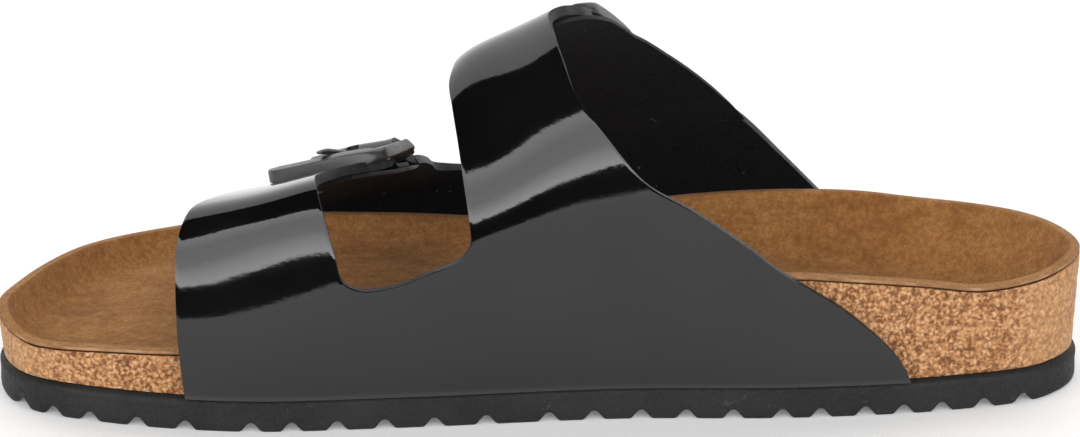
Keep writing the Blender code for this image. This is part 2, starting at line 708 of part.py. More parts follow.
def main():
    """Build every piece of the sandal."""
    for old in list(bpy.data.objects):
        bpy.data.objects.remove(old)
    make_finishes()
    front, rear = Buckle(FRONT_BUCKLE), Buckle(REAR_BUCKLE)
    build_outsole()
    build_cork()
    build_lining()
    build_upper_inner(front, rear)
    build_upper_outer(front, rear)
    build_frame("buckle_frame_front", front)
    build_frame("buckle_frame_rear", rear)
    build_prong("buckle_prong_front", front)
    build_prong("buckle_prong_rear", rear)


main()
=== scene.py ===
"""Looks of a two-strap slide sandal: patent upper, cork footbed, suede lining, foam outsole, black buckles.

Right foot. The toe points to -X, the inner side faces -Y and the sole stands on z = 0.
Sizes are in millimetres until a mesh is placed.
"""
import logging
import math
from dataclasses import dataclass, field
from enum import Enum, IntEnum

import bpy
import numpy as np
from mathutils import Matrix, Vector


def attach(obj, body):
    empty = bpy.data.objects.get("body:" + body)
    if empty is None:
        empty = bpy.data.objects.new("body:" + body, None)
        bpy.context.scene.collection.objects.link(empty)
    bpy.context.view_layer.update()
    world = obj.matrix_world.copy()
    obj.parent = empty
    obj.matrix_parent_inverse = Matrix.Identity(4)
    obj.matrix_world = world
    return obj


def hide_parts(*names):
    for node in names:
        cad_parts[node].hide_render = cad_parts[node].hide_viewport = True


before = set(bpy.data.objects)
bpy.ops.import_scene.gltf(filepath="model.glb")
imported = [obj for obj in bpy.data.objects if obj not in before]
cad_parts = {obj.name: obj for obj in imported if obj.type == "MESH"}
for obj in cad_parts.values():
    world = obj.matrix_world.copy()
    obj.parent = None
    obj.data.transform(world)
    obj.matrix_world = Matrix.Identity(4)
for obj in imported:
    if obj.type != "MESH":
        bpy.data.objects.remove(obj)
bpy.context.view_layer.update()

LOG = logging.getLogger("sandal")
MM = 0.001
# Where the frame's origin lies in the layout of the sizes below.
ORIGIN = np.array([0.28, -1.45, 0.0])
BODY = "root"
CURVE_STEPS = 20

Table = tuple[tuple[float, ...], ...]
Triple = tuple[float, float, float]
Array = np.ndarray
Piece = bpy.types.Object
Socket = bpy.types.NodeSocket


class Slot(Enum):
    """Material slots of the sandal's record."""

    FOAM = "black_foam"
    CORK = "cork"
    SUEDE = "tan_suede"
    PATENT = "black_patent"
    METAL = "black_metal"


class Side(IntEnum):
    """The two long sides of the sandal."""

    INNER = 0
    OUTER = 1


def ease(t: Array | float) -> Array | float:
    """Smooth step from 0 to 1."""
    t = np.clip(t, 0.0, 1.0)
    return t * t * (3.0 - 2.0 * t)


def path_through(points: Table | Array, closed: bool = False) -> Array:
    """Dense centripetal curve through points.

    Args:
        points: Rows of coordinates.
        closed: Whether the curve runs back to its first point.

    Returns:
        CURVE_STEPS points for each stretch, and the last point of an open curve.
    """
    rows = np.array(points, float)
    if closed:
        rows = np.vstack([rows[-1:], rows, rows[:2]])
    else:
        rows = np.vstack([2.0 * rows[0] - rows[1], rows, 2.0 * rows[-1] - rows[-2]])
    out = []
    for a, b, c, d in zip(rows[:-3], rows[1:-2], rows[2:-1], rows[3:]):
        k1 = math.sqrt(np.linalg.norm(b - a))
        k2 = k1 + math.sqrt(np.linalg.norm(c - b))
        k3 = k2 + math.sqrt(np.linalg.norm(d - c))
        k = np.linspace(k1, k2, CURVE_STEPS, endpoint=False)[:, None]
        ab = a + (b - a) * k / k1
        bc = b + (c - b) * (k - k1) / (k2 - k1)
        cd = c + (d - c) * (k - k2) / (k3 - k2)
        abc = ab + (bc - ab) * k / k2
        bcd = bc + (cd - bc) * (k - k1) / (k3 - k1)
        out.append(abc + (bcd - abc) * (k - k1) / (k2 - k1))
    if not closed:
        out.append(rows[-2:-1])
    return np.vstack(out)


def run_of(points: Array) -> Array:
    """Length run along a polyline at each of its points."""
    return np.concatenate([[0.0], np.cumsum(np.linalg.norm(np.diff(points, axis=0), axis=1))])


def spaced(points: Array, shares: Array) -> Array:
    """Points of a polyline at shares of its length."""
    run = run_of(points)
    return np.stack([np.interp(shares * run[-1], run, column) for column in points.T], axis=1)


def column_at(table: Table, column: int, x: Array | float) -> Array:
    """One column of a table at x, by a cubic that never overshoots its rows.

    Args:
        table: Rows that start with x.
        column: Which column is read.
        x: Where it is read.

    Returns:
        The value at each x.
    """
    rows = np.array(table)
    xs, ys = rows[:, 0], rows[:, column]
    step = np.diff(xs)
    slope = np.diff(ys) / step
    tangent = np.concatenate([slope[:1], np.zeros(len(xs) - 2), slope[-1:]])
    for i in range(1, len(xs) - 1):
        if slope[i - 1] * slope[i] > 0.0:
            before = 2.0 * step[i] + step[i - 1]
            after = step[i] + 2.0 * step[i - 1]
            tangent[i] = (before + after) / (before / slope[i - 1] + after / slope[i])
    x = np.clip(x, xs[0], xs[-1])
    i = np.clip(np.searchsorted(xs, x) - 1, 0, len(xs) - 2)
    t = (x - xs[i]) / step[i]
    ends = (1.0 + 2.0 * t) * (1.0 - t) ** 2 * ys[i] + t * t * (3.0 - 2.0 * t) * ys[i + 1]
    bends = t * (1.0 - t) ** 2 * tangent[i] + t * t * (t - 1.0) * tangent[i + 1]
    return ends + bends * step[i]


def softened(values: Array, spread: float) -> Array:
    """Rows smoothed along their first axis, with both ends kept.

    Args:
        values: Evenly spaced rows.
        spread: Width of the smoothing in rows.

    Returns:
        An array of the same shape.
    """
    reach = int(3.0 * spread)
    weights = np.exp(-0.5 * (np.arange(-reach, reach + 1) / spread) ** 2)
    weights /= weights.sum()
    before = 2.0 * values[:1] - values[reach:0:-1]
    after = 2.0 * values[-1:] - values[-2:-reach - 2:-1]
    padded = np.concatenate([before, values, after])
    count = len(values)
    return sum(w * padded[k:k + count] for k, w in enumerate(weights))


def squared(turn: Array, power: Array | float) -> tuple[Array, Array]:
    """Cosine and sine of a turn, with the circle squared off the more the smaller the power."""
    c, s = np.cos(turn), np.sin(turn)
    return np.sign(c) * np.abs(c) ** power, np.sign(s) * np.abs(s) ** power


def across(low: Array, high: Array, cells: int) -> Array:
    """Rows of evenly spaced values from low to high, a row for each pair."""
    share = np.linspace(0.0, 1.0, cells + 1)[None]
    return low[:, None] * (1.0 - share) + high[:, None] * share


@dataclass(frozen=True)
class Footprint:
    """Edge of the sole and the footbed's heights along the foot.

    outline has x, y from the heel round the outer side. bed has x, rim height on the inner side, rim height
    on the outer side and floor height.
    """

    outline: Table = (
        (128.3, -8.0), (123.2, 9.5), (108.5, 23.8), (84.0, 32.4), (50.0, 36.0), (8.0, 40.0), (-38.0, 47.8),
        (-68.0, 46.0), (-92.0, 35.5), (-113.5, 18.4), (-125.0, -7.5), (-127.5, -23.5), (-120.0, -38.5),
        (-98.0, -47.2), (-67.0, -51.0), (-30.0, -47.0), (20.0, -39.5), (62.0, -37.0), (98.0, -30.8),
        (120.0, -22.0),
    )
    toe_row: int = 11
    bed: Table = (
        (-128.0, 20.5, 20.5, 13.6),
        (-116.0, 18.2, 19.6, 12.6),
        (-100.0, 18.9, 19.4, 12.8),
        (-83.0, 19.6, 19.2, 13.4),
        (-50.0, 23.0, 19.0, 12.8),
        (-20.0, 28.0, 19.6, 14.6),
        (10.0, 33.0, 24.4, 17.4),
        (36.0, 36.0, 29.2, 18.4),
        (60.0, 35.7, 31.6, 17.4),
        (75.0, 34.5, 32.0, 16.8),
        (92.0, 32.5, 31.6, 16.6),
        (105.0, 30.6, 31.8, 17.2),
        (118.0, 31.6, 32.6, 18.4),
        (128.5, 33.2, 33.2, 19.6),
    )
    cork_inset: float = 1.0
    end_flare: float = 1.0
    flare_from: float = 88.0
    flare_run: float = 30.0
    rim_lip: float = 2.2
    wall_run: float = 14.0
    toe_run: float = 6.0
    rim_drop: float = 0.25
    drop_run: float = 0.8
    lining_t: float = 0.8
    outsole_t: float = 8.5
    gap: float = 0.3

    def halves(self) -> tuple[Array, Array]:
        """Edge from heel to toe on the inner side and on the outer side.

        Returns:
            Two rows of points, the inner side first.
        """
        edge = path_through(self.outline, closed=True)
        toe = self.toe_row * CURVE_STEPS
        return np.vstack([edge[toe:], edge[:1]])[::-1], edge[:toe + 1]

    def side_y(self, x: Array | float, side: Side) -> Array:
        """Edge of the sole at x on one side."""
        half = self.halves()[side][::-1]
        return np.interp(x, half[:, 0], half[:, 1])

    def ring(self, count: int) -> tuple[Array, Array]:
        """Edge from the heel round the outer side, with the toe half way.

        Args:
            count: Number of points, an even one.

        Returns:
            The points and their outward normals.
        """
        shares = np.linspace(0.0, 1.0, count // 2 + 1)
        inner, outer = self.halves()
        points = np.vstack([spaced(outer, shares)[:-1], spaced(inner, shares)[:0:-1]])
        along = np.roll(points, -1, axis=0) - np.roll(points, 1, axis=0)
        along /= np.linalg.norm(along, axis=1)[:, None]
        return points, np.stack([along[:, 1], -along[:, 0]], axis=1)

    def rim(self, points: Array) -> Array:
        """Top of the footbed's rim at edge points.

        Args:
            points: Edge points.

        Returns:
            A height for each point.
        """
        x, y = points[:, 0], points[:, 1]
        inner_y, outer_y = self.side_y(x, Side.INNER), self.side_y(x, Side.OUTER)
        share = ease((y - inner_y) / np.maximum(outer_y - inner_y, 1.0))
        return column_at(self.bed, 1, x) * (1.0 - share) + column_at(self.bed, 2, x) * share

    def flare(self, points: Array) -> Array:
        """How far the footbed's top leans out at the toe and heel."""
        return self.end_flare * ease((np.abs(points[:, 0]) - self.flare_from) / self.flare_run)


@dataclass
class Last:
    """Outer wall of the upper, as a surface over x and girth from the inner base.

    sections has x, crest height, crest y, squareness of the inner and of the outer side, and the rise of the
    straight foot of the inner and of the outer side over the rim.
    """

    foot: Footprint
    sections: Table = (
        (-100.0, 46.3, -38.5, 1.66, 1.20, 0.0, 1.0),
        (-76.0, 52.2, -39.5, 1.60, 1.18, 0.0, 1.0),
        (-63.0, 55.5, -41.2, 1.54, 1.17, 0.6, 2.2),
        (-52.0, 58.7, -40.6, 1.54, 1.16, 3.0, 4.5),
        (-45.0, 60.2, -39.5, 1.54, 1.17, 6.0, 6.5),
        (-33.0, 61.6, -37.0, 1.56, 1.19, 8.5, 8.0),
        (-20.0, 79.8, -14.0, 1.65, 1.38, 11.8, 10.0),
        (-6.0, 86.2, -9.0, 1.72, 1.40, 14.0, 10.0),
        (7.0, 92.8, -8.6, 1.80, 1.42, 14.0, 10.0),
        (22.0, 97.6, -7.0, 1.84, 1.45, 13.0, 10.0),
        (40.0, 101.5, -6.0, 1.87, 1.50, 11.0, 9.0),
        (60.0, 104.5, -4.5, 1.90, 1.55, 8.0, 6.0),
        (95.0, 106.0, -2.5, 2.00, 1.62, 3.0, 3.0),
    )
    thick: float = 2.4
    step: float = 0.5
    girth_points: int = 401
    corner_softening: float = 4.0
    lengthwise_softening: float = 3.0
    xs: Array = field(init=False)
    wall: Array = field(init=False)
    normals: Array = field(init=False)
    totals: Array = field(init=False)

    def __post_init__(self) -> None:
        """Work out the wall and its normals on a fine grid."""
        self.xs = np.arange(self.sections[0][0], self.sections[-1][0] + self.step, self.step)
        columns = [self.section(x) for x in self.xs]
        shares = np.linspace(0.0, 1.0, self.girth_points)
        spread = self.lengthwise_softening / self.step
        self.wall = softened(np.stack([spaced(c, shares) for c in columns]), spread)
        self.totals = softened(np.array([run_of(c)[-1] for c in columns]), spread)
        along = np.gradient(self.wall, axis=0)
        up = np.gradient(self.wall, axis=1)
        normals = np.cross(along, up)
        self.normals = normals / np.linalg.norm(normals, axis=2)[:, :, None]

    def section(self, x: float) -> Array:
        """Wall at x from the inner base over the crest to the outer base.

        Args:
            x: Place along the foot.

        Returns:
            Rows of x, y, z.
        """
        foot = self.foot
        proud = self.thick + 2.0 * foot.gap - foot.cork_inset
        crest, crest_y = column_at(self.sections, 1, x), column_at(self.sections, 2, x)
        turn = np.linspace(0.0, math.pi / 2.0, 120)
        halves = []
        for side in Side:
            foot_y = foot.side_y(x, side) + (proud if side else -proud)
            spring = column_at(foot.bed, 1 + side, x) + column_at(self.sections, 5 + side, x)
            power = 2.0 / column_at(self.sections, 3 + side, x)
            y = crest_y + (foot_y - crest_y) * np.abs(np.cos(turn)) ** power
            z = spring + (crest - spring) * np.sin(turn) ** power
            y[-1] = crest_y
            halves.append(np.column_stack([np.append(foot_y, y), np.append(foot.outsole_t + foot.gap, z)]))
        wall = np.vstack([halves[0], halves[1][-2::-1]])
        count = int(run_of(wall)[-1] / self.step) + 1
        wall = softened(spaced(wall, np.linspace(0.0, 1.0, count)), self.corner_softening / self.step)
        return np.column_stack([np.full(count, x), wall])

    def total(self, x: Array | float) -> Array:
        """Girth from the inner to the outer base at x."""
        return np.interp(x, self.xs, self.totals)

    def lookup(self, grid: Array, x: Array, girth: Array) -> Array:
        """Value of a grid over the wall, between its points.

        Args:
            grid: The wall's points or normals.
            x: Places along the foot.
            girth: Girths from the inner base.

        Returns:
            One row of three numbers for each place.
        """
        along = np.clip((x - self.xs[0]) / self.step, 0.0, len(self.xs) - 1.001)
        up = girth / self.total(x) * (self.girth_points - 1)
        up = np.clip(up, 0.0, self.girth_points - 1.001)
        i, j = along.astype(int), up.astype(int)
        s, t = (along - i)[..., None], (up - j)[..., None]
        low = grid[i, j] * (1.0 - s) + grid[i + 1, j] * s
        high = grid[i, j + 1] * (1.0 - s) + grid[i + 1, j + 1] * s
        return low * (1.0 - t) + high * t

    def lifted(self, flat: Array, lift: Array | float) -> Array:
        """Points at a height above the wall.

        Args:
            flat: Pattern places, x and girth from the inner base.
            lift: Height above the wall at each.

        Returns:
            Points in space.
        """
        flat = np.asarray(flat, float)
        points = self.lookup(self.wall, flat[..., 0], flat[..., 1])
        normals = self.lookup(self.normals, flat[..., 0], flat[..., 1])
        normals /= np.linalg.norm(normals, axis=-1, keepdims=True)
        return points + normals * np.broadcast_to(lift, flat.shape[:-1])[..., None]

    def from_outer_base(self, flat: Array | Table) -> Array:
        """Same places with the girth counted from the other base.

        Args:
            flat: Pattern places, x and girth.

        Returns:
            The places with their other girth.
        """
        out = np.array(flat, float)
        out[..., 1] = self.total(out[..., 0]) - out[..., 1]
        return out


class Workbench:
    """Blender's modelling tools, used as by hand."""

    merge_reach = 0.01
    sharp_angle = 50.0

    @staticmethod
    def pick(piece: Piece, *others: Piece) -> None:
        """Select pieces, the first of them active.

        Args:
            piece: The active piece.
            others: Further pieces.
        """
        bpy.ops.object.select_all(action="DESELECT")
        for each in (piece, *others):
            each.select_set(True)
        bpy.context.view_layer.objects.active = piece

    @staticmethod
    def patch(name: str, points: Array, uv: Array, drop: Array | None = None,
              marks: dict[str, Array] | None = None) -> Piece:
        """Grid whose crossings lie at given points.

        Args:
            name: Name of the piece.
            points: Rows and columns of points in millimetres.
            uv: Rows and columns of pattern coordinates.
            drop: Cells that are cut out.
            marks: Named numbers at each crossing.

        Returns:
            The new piece.
        """
        rows, cols = points.shape[:2]
        bpy.ops.object.select_all(action="DESELECT")
        bpy.ops.mesh.primitive_grid_add(x_subdivisions=cols - 1, y_subdivisions=rows - 1, size=2.0)
        piece = bpy.context.object
        piece.name = piece.data.name = name
        mesh = piece.data
        place = np.zeros(len(mesh.vertices) * 3)
        mesh.vertices.foreach_get("co", place)
        place = place.reshape(-1, 3)
        col = np.rint((place[:, 0] + 1.0) / 2.0 * (cols - 1)).astype(int)
        row = np.rint((place[:, 1] + 1.0) / 2.0 * (rows - 1)).astype(int)
        mesh.vertices.foreach_set("co", ((points[row, col] - ORIGIN) * MM).ravel())
        corner = np.zeros(len(mesh.loops), int)
        mesh.loops.foreach_get("vertex_index", corner)
        mesh.uv_layers.active.data.foreach_set("uv", uv[row[corner], col[corner]].ravel())
        for mark, values in (marks or {}).items():
            mesh.attributes.new(mark, "FLOAT", "POINT").data.foreach_set("value", values[row, col])
        if drop is not None and drop.any():
            cell = corner.reshape(-1, 4)
            bpy.context.tool_settings.mesh_select_mode = (False, False, True)
            mesh.polygons.foreach_set("select", drop[row[cell].min(axis=1), col[cell].min(axis=1)])
            bpy.ops.object.mode_set(mode="EDIT")
            bpy.ops.mesh.delete(type="FACE")
            bpy.ops.object.mode_set(mode="OBJECT")
        mesh.update()
        return piece

    @classmethod
    def weld(cls, piece: Piece, others: list[Piece], closed: bool) -> Piece:
        """Join pieces and merge the points that meet.

        Args:
            piece: The piece that the others are joined to.
            others: Pieces that end up in it.
            closed: Whether the result is a closed body, whose faces are then turned outwards.

        Returns:
            The joined piece.
        """
        cls.pick(piece, *others)
        if others:
            bpy.ops.object.join()
        bpy.ops.object.mode_set(mode="EDIT")
        bpy.ops.mesh.select_all(action="SELECT")
        bpy.ops.mesh.remove_doubles(threshold=cls.merge_reach * MM)
        if closed:
            bpy.ops.mesh.normals_make_consistent(inside=False)
        bpy.ops.object.mode_set(mode="OBJECT")
        return piece

    @classmethod
    def modify(cls, piece: Piece, kind: str, **settings: object) -> None:
        """Add a modifier to a piece and apply it.

        Args:
            piece: The piece.
            kind: Blender's name of the modifier type.
            settings: Its properties by name.
        """
        cls.pick(piece)
        modifier = piece.modifiers.new(kind.title(), kind)
        for name, value in settings.items():
            setattr(modifier, name, value)
        bpy.ops.object.modifier_apply(modifier=modifier.name)

    @classmethod
    def round_edges(cls, piece: Piece, width: float, material: int = -1) -> None:
        """Round the sharp edges of a piece by a width in millimetres and shade it smooth.

        Args:
            piece: The piece.
            width: Width of the rounding.
            material: Index of its material, or -1 for that of the faces.
        """
        cls.modify(piece, "BEVEL", width=width * MM, segments=3, limit_method="ANGLE",
                   angle_limit=math.radians(cls.sharp_angle), material=material)
        bpy.ops.object.shade_smooth()

    @classmethod
    def tube(cls, name: str, rings: Array, closed: bool) -> Piece:
        """Solid swept through rings of points.

        Args:
            name: Name of the piece.
            rings: Rows of points, a row for each ring.
            closed: Whether the last ring meets the first.

        Returns:
            The new piece, shaded smooth.
        """
        if not closed:
            first, last = rings[:1].mean(axis=1, keepdims=True), rings[-1:].mean(axis=1, keepdims=True)
            rings = np.concatenate([np.repeat(first, rings.shape[1], axis=1), rings,
                                    np.repeat(last, rings.shape[1], axis=1)])
        points = np.concatenate([rings, rings[:, :1]], axis=1)
        if closed:
            points = np.concatenate([points, points[:1]])
        along = run_of(points[:, 0])
        around = run_of(points[len(points) // 2])
        uv = np.stack(np.meshgrid(around, along), axis=2) * MM
        piece = cls.weld(cls.patch(name, points, uv), [], closed=True)
        cls.pick(piece)
        bpy.ops.object.shade_smooth()
        return piece

    @staticmethod
    def seat(piece: Piece, node: str, slot: Slot) -> None:
        """Put a finished piece in the place of a CAD node.

        Args:
            piece: The piece.
            node: CAD node that it stands for.
            slot: Slot of its finish.
        """
        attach(piece, BODY)
        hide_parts(node)
        LOG.info("%s: %d faces, %s", piece.name, len(piece.data.polygons), slot.value)


class NodeBoard:
    """A node tree and short ways to fill it."""

    def __init__(self, tree: bpy.types.NodeTree) -> None:
        """Start on a tree."""
        self.tree = tree

    def feed(self, socket: Socket, value: object) -> None:
        """Link a socket, or set it to a number, a vector or a colour.

        Args:
            socket: The input.
            value: What it gets.
        """
        if isinstance(value, Socket):
            self.tree.links.new(value, socket)
        elif socket.type == "RGBA":
            socket.default_value = (*value, 1.0)
        else:
            socket.default_value = value

    def wire(self, node: bpy.types.Node, **inputs: object) -> bpy.types.Node:
        """Feed a node's inputs by name, with _ for a space.

        Args:
            node: The node.
            inputs: Values or sockets by input name.

        Returns:
            The same node.
        """
        for name, value in inputs.items():
            self.feed(node.inputs[name.replace("_", " ")], value)
        return node

    def add(self, kind: str, settings: dict[str, object] | None = None, **inputs: object) -> bpy.types.Node:
        """Add a node.

        Args:
            kind: Blender's name of the node type, after ShaderNode.
            settings: Properties of the node.
            inputs: Values or sockets by input name, with _ for a space.

        Returns:
            The node.
        """
        node = self.tree.nodes.new("ShaderNode" + kind)
        for name, value in (settings or {}).items():
            setattr(node, name, value)
        return self.wire(node, **inputs)

    def operate(self, kind: str, operation: str, values: tuple[object, ...]) -> Socket:
        """Result of a node that works on its inputs in their order.

        Args:
            kind: Node type, after ShaderNode.
            operation: Blender's name of the operation.
            values: Values or sockets.

        Returns:
            Its first output.
        """
        node = self.add(kind, {"operation": operation})
        for socket, value in zip(node.inputs, values):
            self.feed(socket, value)
        return node.outputs[0]

    def math(self, operation: str, *values: object) -> Socket:
        """Result of a sum on values or sockets."""
        return self.operate("Math", operation, values)

    def noise(self, place: Socket, scale: object, detail: float = 3.0, rough: float = 0.55) -> Socket:
        """Value of a noise at a place."""
        return self.add("TexNoise", Vector=place, Scale=scale, Detail=detail, Roughness=rough).outputs[0]

    def span(self, value: Socket, low: float, high: float, to_low: float = 0.0,
             to_high: float = 1.0) -> Socket:
        """Value moved smoothly from one range to another, and held there."""
        return self.add("MapRange", {"interpolation_type": "SMOOTHSTEP"}, Value=value, From_Min=low,
                        From_Max=high, To_Min=to_low, To_Max=to_high).outputs[0]

    def blend(self, factor: Socket, first: object, second: object, how: str = "MIX") -> Socket:
        """Mix of two colours.

        Args:
            factor: Share of the second.
            first: A colour or socket.
            second: A colour or socket.
            how: Blender's name of the mix.

        Returns:
            The mixed colour.
        """
        node = self.add("Mix", {"data_type": "RGBA", "blend_type": how})
        for at, value in ((0, factor), (6, first), (7, second)):
            self.feed(node.inputs[at], value)
        return node.outputs[2]

    def stretched(self, place: Socket, scale: Triple) -> Socket:
        """Place scaled along its axes."""
        return self.add("Mapping", Vector=place, Scale=scale).outputs[0]

    def warped(self, place: Socket, scale: float, reach: float) -> Socket:
        """Place pushed about by a noise over a reach in millimetres."""
        push = self.add("TexNoise", Vector=place, Scale=scale, Detail=2.0).outputs["Color"]
        return self.operate("VectorMath", "MULTIPLY_ADD", (push, (reach * MM,) * 3, place))

    def bump(self, height: Socket, depth: float) -> Socket:
        """Normal of a bump whose height of 1 is a depth in millimetres."""
        return self.add("Bump", Height=height, Distance=depth * MM, Strength=1.0).outputs[0]

    def place(self, output: str = "Object") -> Socket:
        """Coordinates of the surface."""
        return self.add("TexCoord").outputs[output]

    def mark(self, name: str) -> Socket:
        """Number stored on the mesh."""
        return self.add("Attribute", {"attribute_name": name}).outputs["Fac"]

    def mottle(self, place: Socket, patches: float, specks: float) -> tuple[Socket, Socket]:
        """The shared patches and specks, in sizes of one finish."""
        node = self.add("Group", {"node_tree": Mottle().group()}, Place=place, Patches=patches, Specks=specks)
        return node.outputs["Patch"], node.outputs["Speck"]

    def nap(self, place: Socket, fineness: float) -> Socket:
        """Height of the shared fibres, in the fineness of one finish."""
        node = self.add("Group", {"node_tree": Nap().group()}, Place=place, Fineness=fineness)
        return node.outputs["Height"]


class SharedEffect:
    """Shader group that more than one finish uses."""

    name = "effect"
    scales: tuple[str, ...] = ()
    results: tuple[str, ...] = ()

    def group(self) -> bpy.types.NodeTree:
        """The group, made once, with a place and its scales as inputs.

        Returns:
            The group's node tree.
        """
        if self.name not in bpy.data.node_groups:
            tree = bpy.data.node_groups.new(self.name, "ShaderNodeTree")
            tree.interface.new_socket("Place", in_out="INPUT", socket_type="NodeSocketVector")
            for direction, labels in (("INPUT", self.scales), ("OUTPUT", self.results)):
                for label in labels:
                    tree.interface.new_socket(label, in_out=direction, socket_type="NodeSocketFloat")
            come = tree.nodes.new("NodeGroupInput")
            go = tree.nodes.new("NodeGroupOutput")
            self.fill(NodeBoard(tree), dict(come.outputs.items()), dict(go.inputs.items()))
        return bpy.data.node_groups[self.name]

    def fill(self, board: NodeBoard, come: dict[str, Socket], go: dict[str, Socket]) -> None:
        """Wire the effect between the group's sockets."""
        raise NotImplementedError


class Mottle(SharedEffect):
    """Soft patches in two sizes, as on anything brushed, pressed or handled."""

    name = "Mottle"
    scales = ("Patches", "Specks")
    results = ("Patch", "Speck")

    def fill(self, board: NodeBoard, come: dict[str, Socket], go: dict[str, Socket]) -> None:
        """Wire the effect between the group's sockets.

        Args:
            board: The group's board.
            come: Sockets that come in.
            go: Sockets to feed.
        """
        for source, target, low, high in (("Patches", "Patch", 0.3, 0.7), ("Specks", "Speck", 0.35, 0.65)):
            noise = board.noise(come["Place"], come[source], 4.0, 0.5)
            board.feed(go[target], board.span(noise, low, high))


class Nap(SharedEffect):
    """Short fibres that stand on suede and felt, as a height."""

    name = "Nap"
    scales = ("Fineness",)
    results = ("Height",)

    def fill(self, board: NodeBoard, come: dict[str, Socket], go: dict[str, Socket]) -> None:
        """Wire the effect between the group's sockets.

        Args:
            board: The group's board.
            come: Sockets that come in.
            go: Sockets to feed.
        """
        fine = board.noise(come["Place"], come["Fineness"], 3.0, 0.5)
        tuft = board.noise(come["Place"], board.math("MULTIPLY", come["Fineness"], 0.22), 2.0, 0.5)
        board.feed(go["Height"], board.math("ADD", fine, tuft))


class Finish:
    """Surface of one material. Each finish fills its own nodes."""

    name = "finish"

    def material(self) -> bpy.types.Material:
        """The Blender material, made once.

        Returns:
            The material.
        """
        if self.name not in bpy.data.materials:
            material = bpy.data.materials.new(self.name)
            material.use_nodes = True
            self.fill(NodeBoard(material.node_tree), material.node_tree.nodes["Principled BSDF"])
        return bpy.data.materials[self.name]

    def fill(self, board: NodeBoard, shader: bpy.types.Node) -> None:
        """Wire the finish into its shader."""
        raise NotImplementedError


@dataclass(frozen=True)
class PatentFinish(Finish):
    """Black leather under a clear glossy film that follows its grain a little, with a painted highlight along
    its base.
    """

    name: str = "patent_gloss"
    colour: Triple = (0.0022, 0.0022, 0.0026)
    dusty: Triple = (0.0042, 0.0042, 0.0047)
    # Paler colour of the band along the base: a painted highlight.
    rubbed_and_highlight: Triple = (0.022, 0.022, 0.023)

    def fill(self, board: NodeBoard, shader: bpy.types.Node) -> None:
        """Wire the finish into its shader.

        Args:
            board: The material's board.
            shader: Its Principled BSDF.
        """
        place = board.place()
        patch, speck = board.mottle(place, 45.0, 900.0)
        girth = board.add("SeparateXYZ", Vector=board.place("UV")).outputs["Y"]
        colour = board.blend(patch, self.colour, self.dusty)
        # Painted highlight: the colour turns paler within 1.6 mm of the panel's base.
        colour = board.blend(board.span(girth, 0.3 * MM, 1.6 * MM, 1.0, 0.0), colour, self.rubbed_and_highlight)
        sway = board.noise(place, 55.0, 1.0, 0.5)
        ripple = board.noise(place, 520.0, 3.0, 0.6)
        height = board.math("MULTIPLY_ADD", ripple, 0.2, sway)
        board.wire(shader, Base_Color=colour, Roughness=board.span(speck, 0.0, 1.0, 0.05, 0.075),
                   Normal=board.bump(height, 0.06), IOR=1.56)


@dataclass(frozen=True)
class FeltFinish(Finish):
    """Black felt that backs the straps, with fine fibres and a little lint."""

    name: str = "felt_backing"
    colour: Triple = (0.0024, 0.0024, 0.0027)
    fibre: Triple = (0.0085, 0.0085, 0.009)
    lint: Triple = (0.05, 0.05, 0.053)

    def fill(self, board: NodeBoard, shader: bpy.types.Node) -> None:
        """Wire the finish into its shader.

        Args:
            board: The material's board.
            shader: Its Principled BSDF.
        """
        place = board.place()
        patch, speck = board.mottle(place, 260.0, 1900.0)
        loose = board.blend(patch, self.colour, self.fibre)
        matted = board.blend(patch, board.blend(speck, self.colour, self.fibre), self.colour, "MULTIPLY")
        flecks = board.add("TexVoronoi", Vector=place, Scale=420.0, Randomness=1.0).outputs["Distance"]
        sparse = board.span(board.noise(place, 170.0, 1.0), 0.58, 0.64)
        lint = board.math("MULTIPLY", board.span(flecks, 0.10, 0.16, 1.0, 0.0), sparse)
        board.wire(shader, Base_Color=board.blend(lint, board.blend(speck, loose, matted), self.lint),
                   Roughness=board.span(patch, 0.0, 1.0, 0.9, 1.0),
                   Normal=board.bump(board.nap(place, 2600.0), 0.22),
                   Sheen_Weight=0.04, Sheen_Roughness=0.6, IOR=1.15)


@dataclass(frozen=True)
class CutEdgeFinish(Finish):
    """Cut edge of the straps, painted dark and a little rubbed."""

    name: str = "cut_edge"
    colour: Triple = (0.010, 0.010, 0.011)
    rubbed_and_highlight: Triple = (0.032, 0.032, 0.035)

    def fill(self, board: NodeBoard, shader: bpy.types.Node) -> None:
        """Wire the finish into its shader.

        Args:
            board: The material's board.
            shader: Its Principled BSDF.
        """
        place = board.place()
        patch, speck = board.mottle(place, 160.0, 1200.0)
        board.wire(shader, Base_Color=board.blend(patch, self.colour, self.rubbed_and_highlight),
                   Roughness=board.span(speck, 0.0, 1.0, 0.5, 0.65),
                   Normal=board.bump(board.noise(place, 1500.0, 2.0), 0.05), IOR=1.35)


